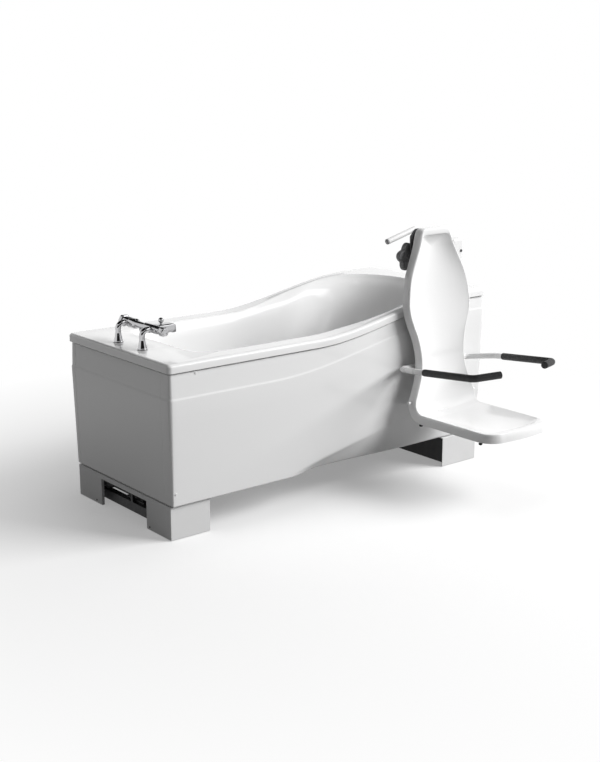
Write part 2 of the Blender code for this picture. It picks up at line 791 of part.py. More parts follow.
def skin_levels(x):
    """Height and inset of the panel's outer face, from its lower edge to its tuck behind the skirt."""
    skirt = rim_height(x) - SKIRT_DEPTH
    band = band_height(x)
    crease = crease_height(x)

    def face(z):
        return mix(FOOT_INSET, FACE_INSET, (z - PANEL_BOTTOM) / (band - PANEL_BOTTOM))

    levels = [
        (PANEL_BOTTOM, face(PANEL_BOTTOM) + undercut(x)),
        (crease - 0.003, face(crease) + 0.03 * undercut(x)),
        (crease + 0.004, face(crease)),
        ((crease + band) / 2, face((crease + band) / 2)),
        (band - 0.005, face(band)),
        (band + 0.003, BAND_INSET),
        (skirt - 0.005, BAND_INSET),
        (skirt + 0.002, SHELL_WALL + GAP),
        (skirt + PANEL_TUCK, SHELL_WALL + GAP),
    ]
    return levels


def panel_section(x, y, normal):
    """Closed section of a panel at a point of its band line."""
    levels = skin_levels(x)
    outer = []
    inner = []
    for height, inset in levels:
        out = BAND_INSET - inset
        outer.append((x + normal[0] * out, y + normal[1] * out, height))
        out -= PANEL_WALL
        inner.append((x + normal[0] * out, y + normal[1] * out, height))
    return outer + inner[::-1]


def corner_stations(x, y, towards_x, towards_y):
    """Stations round a panel corner, from the end face to the side face."""
    stations = []
    centre_x = x - towards_x * PANEL_CORNER
    centre_y = y - towards_y * PANEL_CORNER
    for i in range(4):
        angle = math.pi / 2 * i / 3
        normal = (towards_x * math.cos(angle), towards_y * math.sin(angle))
        stations.append((centre_x + normal[0] * PANEL_CORNER, centre_y + normal[1] * PANEL_CORNER, normal))
    return stations


def side_panel(side, seam):
    """Panel of one long side, which wraps round both corners as far as the seam."""
    x1 = RIM_LENGTH / 2 - BAND_INSET
    y1 = side * (RIM_WIDTH / 2 - BAND_INSET)
    stations = [(-x1, seam, (-1.0, 0.0))]
    stations += corner_stations(-x1, y1, -1.0, side)
    steps = 17
    for i in range(1, steps):
        stations.append((mix(-x1 + PANEL_CORNER, x1 - PANEL_CORNER, i / steps), y1, (0.0, side)))
    stations += corner_stations(x1, y1, 1.0, side)[::-1]
    stations.append((x1, seam, (1.0, 0.0)))
    return loft([panel_section(*station) for station in stations])


def end_panel(side):
    """Flat panel of one end, between the seams."""
    x1 = side * (RIM_LENGTH / 2 - BAND_INSET)
    ends = [(x1, FRONT_SEAM_Y + 2 * GAP, (side, 0.0)), (x1, REAR_SEAM_Y - 2 * GAP, (side, 0.0))]
    return loft([panel_section(*station) for station in ends])


def make_panels():
    add("front_panel", "bath", "panel_white", side_panel(-1.0, FRONT_SEAM_Y), 40.0)
    add("rear_panel", "bath", "panel_white", side_panel(1.0, REAR_SEAM_Y), 40.0)
    add("foot_panel", "bath", "panel_white", end_panel(-1.0), 40.0)
    add("head_panel", "bath", "panel_white", end_panel(1.0), 40.0)


# Plinths and chassis

def plinth_cover(out_x, in_x, column_x, service):
    """Sheet cover of one plinth, open below and towards the middle of the bath."""
    side = 1.0 if in_x > out_x else -1.0
    low, high = sorted((out_x, in_x))
    y1 = PLINTH_HALF
    cover = box((low, -y1, FLOOR_GAP), (high, y1, PLINTH_HEIGHT))
    wall = PLINTH_WALL
    depth = SERVICE_RETURN if service else wall
    hollow_low, hollow_high = sorted((out_x + side * depth, in_x + side * 0.01))
    inner_y = y1 - wall
    top = PLINTH_HEIGHT - wall
    tools = [box((hollow_low, -inner_y, -0.01), (hollow_high, inner_y, top))]
    if service:
        pocket_low, pocket_high = sorted((out_x + side * wall, out_x + side * (depth + 0.001)))
        tools.append(box((pocket_low, -inner_y, -0.01), (pocket_high, SERVICE_Y0 - wall, top)))
        tools.append(box((pocket_low, SERVICE_Y1 + wall, -0.01), (pocket_high, inner_y, top)))
        tools.append(box((pocket_low, SERVICE_Y0 - 2 * wall, SERVICE_TOP + wall),
                         (pocket_high, SERVICE_Y1 + 2 * wall, top)))
        mouth_low, mouth_high = sorted((out_x - side * 0.01, out_x + side * (depth + 0.001)))
        tools.append(box((mouth_low, SERVICE_Y0, -0.01), (mouth_high, SERVICE_Y1, SERVICE_TOP)))
    hole_x = COLUMN_DEPTH / 2 + GAP
    hole_y = COLUMN_WIDTH / 2 + GAP
    tools.append(box((column_x - hole_x, -hole_y, top - 0.01), (column_x + hole_x, hole_y, top + 0.01)))
    return cut(cover, *tools)


def frame_ends(service):
    """Outer and inner ends of a base frame along X; the foot frame starts behind the service opening."""
    if service:
        return FOOT_PLINTH_OUT + FOOT_SETBACK + GAP, FOOT_PLINTH_IN - PLATE_SETBACK
    return HEAD_PLINTH_OUT - HEAD_SETBACK, HEAD_PLINTH_IN + PLATE_SETBACK


def column_x(end):
    """Place along X of a lift column and its levelling feet, at the middle of the base frame."""
    return sum(frame_ends(end == "foot")) / 2


def base_frame(service):
    """Welded rail frame inside a plinth, with the black plate that closes the plinth's open side."""
    outer, inner = frame_ends(service)
    side = 1.0 if inner > outer else -1.0
    y1 = PLINTH_HALF - PLINTH_WALL - GAP
    low, high = sorted((outer, inner))
    frame = box((low, -y1, FRAME_BOTTOM), (high, y1, FRAME_TOP))
    seat = COLUMN_WIDTH / 2 + COLUMN_FLANGE_MARGIN
    pockets = []
    for y_low, y_high in ((-y1 + 1.6 * FRAME_RAIL, -seat), (seat, y1 - 1.6 * FRAME_RAIL)):
        pockets.append(box((low + FRAME_RAIL, y_low, 0.0), (high - FRAME_RAIL, y_high, 0.1)))
    frame = cut(frame, *pockets)
    plate_top = PLINTH_HEIGHT - PLINTH_WALL - 2 * GAP
    plate_low, plate_high = sorted((inner, inner - side * PLATE_THICKNESS))
    plate = box((plate_low, -y1, FRAME_TOP - PLATE_OVERLAP), (plate_high, y1, plate_top))
    frame = fuse(frame, plate)
    if service:
        post_x = outer + side * POST_SIDE / 2
        post = box((post_x - POST_SIDE / 2, -POST_SIDE / 2, FRAME_TOP - PLATE_OVERLAP),
                   (post_x + POST_SIDE / 2, POST_SIDE / 2, SERVICE_TOP - GAP))
        hole = cylinder(TRAP_OUTLET_RADIUS + 0.004, plate_low - 0.01, plate_high + 0.01,
                        (SOCKET_Y, SOCKET_HEIGHT), "X", 20)
        frame = cut(fuse(frame, post), hole)
    return frame


def levelling_foot(x, y):
    """Foot with a swivel pad and a short stud that meets the frame."""
    stud = 0.4 * LEVEL_FOOT_RADIUS
    profile = [(LEVEL_FOOT_RADIUS, 0.0), (LEVEL_FOOT_RADIUS, 0.5 * LEVEL_FOOT_DISC),
               (0.8 * LEVEL_FOOT_RADIUS, LEVEL_FOOT_DISC), (stud, LEVEL_FOOT_DISC + 0.002),
               (stud, FRAME_BOTTOM - GAP)]
    return turned(profile, (x, y, 0.0), "Z", 20)


def square_tube(x, y, size_x, size_y, wall, low, high):
    outer = box((x - size_x / 2, y - size_y / 2, low), (x + size_x / 2, y + size_y / 2, high))
    inner_x = size_x / 2 - wall
    inner_y = size_y / 2 - wall
    return cut(outer, box((x - inner_x, y - inner_y, low - 0.01), (x + inner_x, y + inner_y, high + 0.01)))


def make_column(end, x):
    """Telescopic lift column: the fixed outer tube with its flange, the rising inner tube and the motor."""
    flange_low = FRAME_TOP + GAP
    flange_high = flange_low + COLUMN_FLANGE
    outer = square_tube(x, 0.0, COLUMN_DEPTH, COLUMN_WIDTH, COLUMN_WALL, flange_low + 0.002, COLUMN_TOP)
    reach_x = COLUMN_DEPTH / 2 + COLUMN_FLANGE_LIP
    reach_y = COLUMN_WIDTH / 2 + COLUMN_FLANGE_MARGIN
    flange = box((x - reach_x, -reach_y, flange_low), (x + reach_x, reach_y, flange_high))
    add(end + "_column_outer", "base", "black_paint", fuse(outer, flange), 30.0)

    inner_x = COLUMN_DEPTH - 2 * COLUMN_WALL - 2 * GAP
    inner_y = COLUMN_WIDTH - 2 * COLUMN_WALL - 2 * GAP
    inner = square_tube(x, 0.0, inner_x, inner_y, INNER_WALL, INNER_BOTTOM, CRADLE_BOTTOM - 0.010)
    head = box((x - inner_x / 2, -inner_y / 2, CRADLE_BOTTOM - 0.012),
               (x + inner_x / 2, inner_y / 2, CRADLE_BOTTOM - GAP))
    add(end + "_column_inner", "bath", "steel", fuse(inner, head), 30.0)

    gear_y0 = COLUMN_WIDTH / 2 + GAP
    gear_y1 = gear_y0 + GEARBOX_LENGTH
    gear_low = flange_high + GAP
    axis_z = gear_low + MOTOR_RADIUS
    gear_half = MOTOR_RADIUS + GEARBOX_MARGIN
    outline = rounded_rectangle((x - gear_half, gear_low), (x + gear_half, axis_z + gear_half), 0.006, 2)
    gearbox = prism(outline, gear_y0, gear_y1, "Y")
    motor = turned([(MOTOR_RADIUS, gear_y1 - 0.004), (MOTOR_RADIUS, gear_y1 + MOTOR_LENGTH - 0.006),
                    (MOTOR_RADIUS - 0.006, gear_y1 + MOTOR_LENGTH)], (x, axis_z, 0.0), "Y", 20)
    add(end + "_lift_motor", "base", "grey_paint", fuse(gearbox, motor))


def make_base():
    foot_cover = plinth_cover(FOOT_PLINTH_OUT, FOOT_PLINTH_IN, column_x("foot"), True)
    head_cover = plinth_cover(HEAD_PLINTH_OUT, HEAD_PLINTH_IN, column_x("head"), False)
    add("foot_plinth_cover", "base", "plinth_paint", foot_cover, 30.0)
    add("head_plinth_cover", "base", "plinth_paint", head_cover, 30.0)
    add("foot_base_frame", "base", "black_paint", base_frame(True), 30.0)
    add("head_base_frame", "base", "black_paint", base_frame(False), 30.0)
    beam_low = FOOT_PLINTH_IN - PLATE_SETBACK + GAP
    beam_high = HEAD_PLINTH_IN + PLATE_SETBACK - GAP
    beam_bottom = FRAME_BOTTOM + BEAM_LIFT
    beam = square_beam(beam_low, beam_high, beam_bottom)
    add("base_beam", "base", "black_paint", beam, 30.0)
    for end in ("foot", "head"):
        for side, y in (("front", -LEVEL_FOOT_Y), ("rear", LEVEL_FOOT_Y)):
            add("levelling_foot_" + end + "_" + side, "base", "rubber", levelling_foot(column_x(end), y))
        make_column(end, column_x(end))
    make_control_box(column_x("foot"))


def square_beam(low, high, bottom):
    """Hollow chassis beam with open ends."""
    half = BEAM_WIDTH / 2
    wall = BEAM_WALL
    beam = box((low, BEAM_Y - half, bottom), (high, BEAM_Y + half, bottom + BEAM_HEIGHT))
    bore = box((low - CUT_MARGIN, BEAM_Y - half + wall, bottom + wall),
               (high + CUT_MARGIN, BEAM_Y + half - wall, bottom + BEAM_HEIGHT - wall))
    return cut(beam, bore)


def make_control_box(x):
    """Electrics box on the foot frame's rails, with cable glands towards the motor."""
    low_z = FRAME_TOP + GAP
    half = CONTROL_BOX_LENGTH / 2
    outline = rounded_rectangle((x - half, CONTROL_BOX_Y0), (x + half, CONTROL_BOX_Y1), 0.008, 2)
    body = prism(outline, low_z, low_z + CONTROL_BOX_HEIGHT)
    glands = []
    for dx in (-GLAND_SPACING / 2, GLAND_SPACING / 2):
        place = (x + dx, low_z + CONTROL_BOX_HEIGHT / 2)
        gland = cylinder(GLAND_RADIUS, CONTROL_BOX_Y0 - GLAND_REACH, CONTROL_BOX_Y0 + 0.005, place, "Y", 12)
        glands.append(gland)
    add("control_box", "base", "grey_plastic", fuse(body, *glands))


# Lift frame under the rim

def make_cradle():
    """Frame that carries the tub by its rim, with posts up to the deck and a bolted bay at the foot end."""
    x1 = CRADLE_HALF_LENGTH
    y1 = CRADLE_HALF_WIDTH
    top = CRADLE_BOTTOM + CRADLE_DEPTH
    cut_low = CRADLE_BOTTOM - CUT_MARGIN
    cut_high = top + CUT_MARGIN
    seat_x = COLUMN_DEPTH / 2 + CRADLE_SEAT
    seat_y = COLUMN_WIDTH / 2 + CRADLE_SEAT
    foot_end = column_x("foot") + seat_x
    head_end = column_x("head") - seat_x
    inner_y = y1 - CRADLE_RAIL
    seam = foot_end - CRADLE_END_RAIL
    foot_bay = (-x1 + CRADLE_END_RAIL, seam + CUT_MARGIN)
    head_bay = (head_end + CRADLE_END_RAIL, x1 - CRADLE_END_RAIL)
    bays = []
    for (low, high), sign in ((foot_bay, -1.0), (foot_bay, 1.0), (head_bay, 1.0)):
        y_low, y_high = sorted((sign * seat_y, sign * inner_y))
        bays.append(box((low, y_low, cut_low), (high, y_high, cut_high)))
    foot_frame = box((-x1, -y1, CRADLE_BOTTOM), (seam - GAP, y1, top))
    add("bath_frame_foot", "bath", "grey_paint", cut(foot_frame, *bays[:2]), 30.0)
    frame = box((seam, -y1, CRADLE_BOTTOM), (x1, y1, top))
    middle = box((foot_end, -inner_y, cut_low), (head_end, inner_y, cut_high))
    frame = cut(frame, middle, mast_hole(MAST_OUTER / 2 + GAP, cut_low, cut_high), bays[2])
    posts = []
    post_y = y1 + POST_OUTSET - POST_SIZE / 2
    for x, clearance in [(x, GAP) for x in POST_X] + [(BASIN_HEAD_X, HEAD_POST_CLEARANCE)]:
        deck = rim_height(x) - SHELL_WALL - clearance
        for y in (-post_y, post_y):
            posts.append(box((x - POST_SIZE / 2, y - POST_SIZE / 2, top - 0.01),
                             (x + POST_SIZE / 2, y + POST_SIZE / 2, deck)))
    add("bath_frame", "bath", "grey_paint", fuse(frame, *posts), 30.0)


# Waste and overflow

def hose_route():
    """Middle line of the waste hose, from the trap's outlet to the socket in the foot plinth."""
    outlet_z = (TRAP_TOP + TRAP_BOTTOM) / 2
    start = Vector((WASTE_X - TRAP_RADIUS - TRAP_STUB - 2 * GAP, 0.0, outlet_z))
    end = Vector((FOOT_PLINTH_IN + SOCKET_REACH, SOCKET_Y, SOCKET_HEIGHT))
    points = [start, start + Vector((-0.020, 0.0, 0.0))]
    points += [end + Vector(step) for step in HOSE_STEPS] + [end]
    return spline(points, 10)


def resampled(path, count):
    """The path at equal steps of length."""
    lengths = [0.0]
    for a, b in zip(path, path[1:]):
        lengths.append(lengths[-1] + (b - a).length)
    points = []
    k = 0
    for i in range(count + 1):
        target = lengths[-1] * i / count
        while k < len(path) - 2 and lengths[k + 1] < target:
            k += 1
        share = (target - lengths[k]) / (lengths[k + 1] - lengths[k])
        points.append(path[k].lerp(path[k + 1], min(share, 1.0)))
    return points


def make_hose():
    steps = 2 * HOSE_RIBS
    path = resampled(hose_route(), steps)
    frames = side_frames(path, (-1.0, 0.0, 0.0))
    straight = 4
    rings = []
    for i, (point, frame) in enumerate(zip(path, frames)):
        plain = i < straight or i > steps - straight
        radius = HOSE_VALLEY_RADIUS if plain or i % 2 else HOSE_RIB_RADIUS
        rings.append(round_ring(point, frame, radius, HOSE_SIDES))
    for i in range(steps, -1, -4):
        rings.append(round_ring(path[i], frames[i], HOSE_BORE_RADIUS, HOSE_SIDES))
    add("waste_hose", "base", "grey_plastic", loft(rings, cyclic=True), 60.0)


def make_waste():
    top = FLOOR_HEIGHT + GAP
    body_low = TRAP_TOP + GAP
    fitting = [(WASTE_BORE_RADIUS, body_low), (WASTE_BODY_RADIUS, body_low), (WASTE_BODY_RADIUS, top),
               (WASTE_FLANGE_RADIUS, top), (WASTE_FLANGE_RADIUS, top + 0.4 * WASTE_FLANGE),
               (WASTE_FLANGE_RADIUS - 0.004, top + WASTE_FLANGE), (WASTE_BORE_RADIUS, top + WASTE_FLANGE)]
    add("waste_fitting", "bath", "chrome", turned(fitting, (WASTE_X, 0.0, 0.0), "Z", 24, cyclic=True))

    outlet_z = (TRAP_TOP + TRAP_BOTTOM) / 2
    inner = TRAP_RADIUS - TRAP_WALL
    roof = TRAP_TOP - TRAP_WALL
    floor = TRAP_BOTTOM + TRAP_WALL
    cup = [(0.0, TRAP_BOTTOM), (TRAP_RADIUS - 0.010, TRAP_BOTTOM), (TRAP_RADIUS, TRAP_BOTTOM + 0.010),
           (TRAP_RADIUS, TRAP_TOP), (WASTE_BORE_RADIUS, TRAP_TOP), (WASTE_BORE_RADIUS, roof),
           (inner, roof), (inner, floor + 0.008), (inner - 0.008, floor), (0.0, floor)]
    trap = turned(cup, (WASTE_X, 0.0, 0.0), "Z", 20, cyclic=True)
    stub_x = WASTE_X - TRAP_RADIUS - TRAP_STUB
    stub = cylinder(TRAP_OUTLET_RADIUS, stub_x, WASTE_X - TRAP_RADIUS + 0.003, (0.0, outlet_z), "X", 16)
    bore_end = WASTE_X - TRAP_RADIUS + 0.012
    bore = cylinder(HOSE_BORE_RADIUS, stub_x - 0.01, bore_end, (0.0, outlet_z), "X", 16)
    add("waste_trap", "bath", "white_paint", cut(fuse(trap, stub), bore))

    overflow, direction = overflow_place()
    dome = [(0.0, 0.010), (OVERFLOW_RADIUS * 0.6, 0.0095), (OVERFLOW_RADIUS, 0.005), (OVERFLOW_RADIUS, GAP),
            (WASTE_BORE_RADIUS, GAP), (WASTE_BORE_RADIUS, -0.030), (WASTE_BORE_RADIUS - 0.003, -0.030),
            (WASTE_BORE_RADIUS - 0.003, 0.004), (0.0, 0.004)]
    add("overflow_fitting", "bath", "chrome", turned_along(dome, overflow, direction, 20, cyclic=True))

    plug_low = top + WASTE_FLANGE + GAP
    guide = WASTE_BORE_RADIUS - 2 * GAP
    plug = [(0.0, plug_low - 0.014), (guide, plug_low - 0.014), (guide, plug_low),
            (WASTE_FLANGE_RADIUS - 0.008, plug_low), (WASTE_FLANGE_RADIUS - 0.008, plug_low + 0.003),
            (0.6 * WASTE_FLANGE_RADIUS, plug_low + 0.006), (0.0, plug_low + 0.007)]
    add("waste_plug", "waste_plug_body", "chrome", turned(plug, (WASTE_X, 0.0, 0.0), "Z", 24))

    elbow_end = FOOT_PLINTH_IN + SOCKET_REACH - GAP
    leg_x = sum(frame_ends(True)) / 2
    bend = rounded([(elbow_end, SOCKET_Y, SOCKET_HEIGHT), (leg_x, SOCKET_Y, SOCKET_HEIGHT),
                    (leg_x, SOCKET_Y, FLOOR_GAP)], SOCKET_BEND, 5, closed=False)
    outer = side_frames(bend)
    rings = [round_ring(p, f, TRAP_OUTLET_RADIUS, 14) for p, f in zip(bend, outer)]
    rings += [round_ring(p, f, HOSE_BORE_RADIUS, 14) for p, f in reversed(list(zip(bend, outer)))]
    add("waste_socket", "base", "grey_plastic", loft(rings, cyclic=True))
    make_hose()


# Tap

def make_tap():
    legs = (("tap_leg_front", -TAP_SPACING / 2, TAP_BODY_RADIUS),
            ("tap_leg_rear", TAP_SPACING / 2, TAP_REAR_RADIUS))
    for name, y, body_radius in legs:
        deck = RIM_FOOT_HEIGHT + GAP
        face = TAP_BODY_X - body_radius - GAP
        bend = rounded([(TAP_X, y, deck + 0.042), (TAP_X, y, TAP_BODY_Z), (face, y, TAP_BODY_Z)],
                       0.022, 5, closed=False)
        foot = [Vector((TAP_X, y, deck + rise)) for rise in (0.0, 0.003, 0.010, 0.022)]
        flare = TAP_LEG_FLARE - TAP_LEG_NECK
        foot_radii = [TAP_LEG_FLARE, TAP_LEG_FLARE,
                      TAP_LEG_NECK + 0.62 * flare, TAP_LEG_NECK + 0.22 * flare]
        path = foot + bend
        radii = foot_radii + [TAP_LEG_NECK] * (len(bend) - 1) + [TAP_LEG_NECK + 0.001]
        leg = rod(path, radii, 16)
        shank = cylinder(TAP_SHANK_RADIUS, deck - TAP_SHANK_LENGTH, deck + 0.005, (TAP_X, y), "Z", 16)
        add(name, "bath", "chrome", fuse(leg, shank))

    r = TAP_BODY_RADIUS
    y0 = TAP_BODY_FRONT
    y1 = TAP_BODY_REAR
    rear = TAP_REAR_RADIUS
    barrel = [(r - 0.004, y0), (r - 0.002, y0 + 0.002), (r - 0.002, y0 + 0.022), (r, y0 + 0.024),
              (r, -0.040), (r - 0.003, -0.036), (r - 0.003, 0.026), (rear, 0.034),
              (rear, y1 - 0.004), (rear - 0.004, y1)]
    body = turned(barrel, (TAP_BODY_X, TAP_BODY_Z, 0.0), "Y", 20)
    outlet = cylinder(0.009, TAP_BODY_Z - r - 0.012, TAP_BODY_Z - 0.004, (TAP_BODY_X, -0.005), "Z", 12)
    add("tap_body", "bath", "chrome", fuse(body, outlet))

    base = TAP_BODY_X + 0.4 * r
    sections = []
    spans = [(0.0, 0.50, -0.50, 1.0), (0.55, 0.50, -0.50, 1.0), (0.85, 0.48, -0.58, 0.97),
             (1.0, 0.34, -0.62, 0.90)]
    for along, top, bottom, width in spans:
        x = base + (TAP_BODY_RADIUS * 0.6 + SPOUT_REACH) * along
        half = SPOUT_WIDTH / 2 * width
        low = (SPOUT_Y - half, TAP_BODY_Z + bottom * SPOUT_HEIGHT)
        high = (SPOUT_Y + half, TAP_BODY_Z + top * SPOUT_HEIGHT)
        outline = rounded_rectangle(low, high, 0.007, 3)
        sections.append([(x, y, z) for y, z in outline])
    block = loft(sections)
    saddle = cylinder(r + GAP, SPOUT_Y - 0.05, SPOUT_Y + 0.05, (TAP_BODY_X, TAP_BODY_Z), "Y", 20)
    knob_x = BODIES["diverter_body"][1][0]
    block_top = TAP_BODY_Z + SPOUT_HEIGHT / 2
    stem_hole = cylinder(KNOB_STEM_RADIUS + GAP, block_top - KNOB_STEM_DEPTH - 0.002, block_top + 0.01,
                         (knob_x, SPOUT_Y), "Z", 12)
    mouth_x = base + SPOUT_REACH - 0.006
    mouth = cylinder(0.010, TAP_BODY_Z - 0.04, TAP_BODY_Z - 0.008, (mouth_x, SPOUT_Y), "Z", 14)
    add("tap_spout", "bath", "chrome", cut(block, saddle, stem_hole, mouth))

    profile = [(0.0, block_top - KNOB_STEM_DEPTH), (KNOB_STEM_RADIUS, block_top - KNOB_STEM_DEPTH),
               (KNOB_STEM_RADIUS, block_top + 0.006)]
    ball_z = block_top + 0.006 + 0.8 * KNOB_RADIUS
    for angle in range(-50, 90, 20):
        turn = math.radians(angle)
        profile.append((KNOB_RADIUS * math.cos(turn), ball_z + KNOB_RADIUS * math.sin(turn)))
    profile.append((0.0, ball_z + KNOB_RADIUS))
    add("diverter_knob", "diverter_body", "chrome", turned(profile, (knob_x, SPOUT_Y, 0.0), "Z", 16))

    def flutes(angle):
        return 1.0 + 0.045 * math.cos(6 * angle)

    h = HANDLE_RADIUS
    front = TAP_BODY_FRONT - GAP
    knob = [(0.0, front), (0.6 * h, front), (0.6 * h, front - 0.003), (h, front - 0.005),
            (h, front - HANDLE_LENGTH + 0.005), (0.8 * h, front - HANDLE_LENGTH + 0.001),
            (0.0, front - HANDLE_LENGTH)]
    flow = turned(knob, (TAP_BODY_X, TAP_BODY_Z, 0.0), "Y", 24, wave=flutes)
    add("flow_handle", "flow_body", "chrome", flow)
    h = REAR_HANDLE_RADIUS
    rear = TAP_BODY_REAR + GAP
    knob = [(0.0, rear), (0.7 * h, rear), (h, rear + 0.003), (h, rear + REAR_HANDLE_LENGTH - 0.008),
            (0.7 * h, rear + REAR_HANDLE_LENGTH), (0.0, rear + REAR_HANDLE_LENGTH)]
    temperature = turned(knob, (TAP_BODY_X, TAP_BODY_Z, 0.0), "Y", 24, wave=flutes)
    add("temperature_handle", "temperature_body", "chrome", temperature)


# Seat lift

def make_mast():
    deck = RIM_HEAD_HEIGHT
    mast_top = deck + MAST_STAND
    outer = square_tube(MAST_X, MAST_Y, MAST_OUTER, MAST_OUTER, MAST_WALL, MAST_BOTTOM, mast_top)
    add("mast_outer", "bath", "white_paint", outer, 30.0)
    collar_half = MAST_OUTER / 2 + COLLAR_MARGIN
    low = (MAST_X - collar_half, MAST_Y - collar_half)
    high = (MAST_X + collar_half, MAST_Y + collar_half)
    collar = prism(rounded_rectangle(low, high, 0.012), deck + GAP, deck + COLLAR_HEIGHT)
    hole = mast_hole(MAST_OUTER / 2 + GAP, deck - CUT_MARGIN, deck + CUT_MARGIN)
    add("deck_collar", "bath", "dark_plastic", cut(collar, hole))

    inner_size = MAST_OUTER - 2 * MAST_WALL - 2 * GAP
    inner = square_tube(MAST_X, MAST_Y, inner_size, inner_size, MAST_INNER_WALL, MAST_INNER_BOTTOM,
                        MAST_INNER_TOP)
    add("mast_inner", "mast", "steel", inner, 30.0)

    flange_low = MAST_INNER_TOP + GAP
    flange_high = flange_low + SPINDLE_FLANGE
    cap = box((MAST_X - inner_size / 2, MAST_Y - inner_size / 2, flange_low),
              (MAST_X + inner_size / 2, MAST_Y + inner_size / 2, flange_high))
    plug_half = inner_size / 2 - MAST_INNER_WALL - GAP
    plug = mast_hole(plug_half, flange_low - 0.020, flange_low + 0.002)
    pin_top = flange_high + SPINDLE_LENGTH
    pin_profile = [(SPINDLE_RADIUS, flange_high - 0.002), (SPINDLE_RADIUS, pin_top - 0.002),
                   (SPINDLE_RADIUS - 0.002, pin_top)]
    pin = turned(pin_profile, (MAST_X, MAST_Y, 0.0), "Z", 20)
    add("swivel_spindle", "mast", "steel", fuse(cap, plug, pin), 30.0)

    washer_low = flange_high + GAP
    washer_high = washer_low + WASHER_HEIGHT
    bore = SPINDLE_RADIUS + GAP
    ring = [(bore, washer_low), (WASHER_RADIUS, washer_low), (WASHER_RADIUS, washer_high),
            (bore, washer_high)]
    washer = turned(ring, (MAST_X, MAST_Y, 0.0), "Z", 20, cyclic=True)
    add("swivel_washer", "mast", "dark_plastic", washer)
    return washer_high + GAP


def rounded_block(low, high, corner, top_edge):
    """Block with rounded upright edges and a rounded upper edge."""
    rings = []
    for inset, drop in ((0.0, high[2] - low[2]), (0.0, top_edge), (0.13 * top_edge, 0.5 * top_edge),
                        (0.5 * top_edge, 0.13 * top_edge), (top_edge, 0.0)):
        outline = rounded_rectangle((low[0] + inset, low[1] + inset), (high[0] - inset, high[1] - inset),
                                    max(corner - inset, 0.002), 4)
        rings.append([(x, y, high[2] - drop) for x, y in outline])
    return loft(rings)


# Seat shell

def back_direction():
    return Vector((0.0, -BACK_LEAN, -1.0)).normalized()


def crease_span():
    """Distances from the top at which the crest line starts and ends its bend into the seat."""
    turn = back_direction().angle(Vector((0.0, -1.0, 0.0)))
    straight = (SHELL_TOP - SEAT_RIM_Z) / -back_direction().z
    start = straight - CREASE_RADIUS * math.tan(turn / 2)
    return start, start + CREASE_RADIUS * turn


def bend_stations():
    """Distances at which both the shell and its strap are stepped round the bend."""
    start, end = crease_span()
    return [mix(start, end, i / BEND_STEPS) for i in range(BEND_STEPS + 1)]


def crest_point(distance):
    """Point of the shell's crest line at a distance from its top, with the direction to its rear."""
    down = back_direction()
    ahead = Vector((0.0, -1.0, 0.0))
    top = Vector((0.0, BACK_FOOT_Y + BACK_LEAN * (SHELL_TOP - BACK_FOOT_Z), SHELL_TOP))
    back_length, seat_start = crease_span()
    rear = Vector((0.0, -down.z, down.y))
    if distance <= back_length:
        return top + down * distance, rear
    centre = top + down * back_length - rear * CREASE_RADIUS
    angle = (min(distance, seat_start) - back_length) / CREASE_RADIUS
    out = rear * math.cos(angle) + down * math.sin(angle)
    return centre + out * CREASE_RADIUS + ahead * max(distance - seat_start, 0.0), out


def crest_distance(y=None, z=None):
    """Distance from the top at which the crest line reaches a depth or a height."""
    low, high = 0.0, 1.6
    for _ in range(50):
        middle = (low + high) / 2
        point, _rear = crest_point(middle)
        passed = point.y < y if y is not None else point.z < z
        low, high = (low, middle) if passed else (middle, high)
    return (low + high) / 2


def flange_depth(distance):
    """Depth of the flange behind the crest line, shallower down the back."""
    top = smoothstep((distance - FLANGE_NARROW_START) / FLANGE_NARROW_LENGTH)
    start, end = crease_span()
    seat = smoothstep((distance - start + FLANGE_NARROW_LENGTH) / (end - start + FLANGE_NARROW_LENGTH))
    return mix(FLANGE_DEPTH, BACK_FLANGE_DEPTH, top * (1 - seat))


def dish_depth(distance):
    """Depth of the dished middle behind the crest line."""
    waist = crest_distance(z=WAIST_HEIGHT)
    shoulder = crest_distance(z=SHOULDER_HEIGHT)
    crease = crest_distance(z=SEAT_RIM_Z + CREASE_LIFT)
    if distance < waist:
        return mix(BACK_DISH_TOP, BACK_DISH_WAIST, smoothstep((distance - shoulder) / (waist - shoulder)))
    return mix(BACK_DISH_WAIST, SEAT_DISH, smoothstep((distance - waist) / (crease - waist)))


BEND_STEPS = 7
STRAP_STEPS = 16

# Half width of the back at heights above the floor, from the crown to the hips
BACK_OUTLINE = [(0.0, 1.100), (0.045, 1.0995), (0.070, 1.097), (0.085, 1.088), (0.096, 1.068),
                (0.106, 1.042), (0.119, 1.015), (0.134, 0.985), (0.153, 0.946), (0.170, 0.905),
                (0.181, 0.860), (0.188, 0.815), (0.190, 0.782), (0.185, 0.742), (0.172, 0.700),
                (0.155, 0.655), (0.143, 0.610), (0.138, 0.570), (0.138, 0.535), (0.147, 0.485),
                (0.165, 0.438), (0.187, 0.388)]


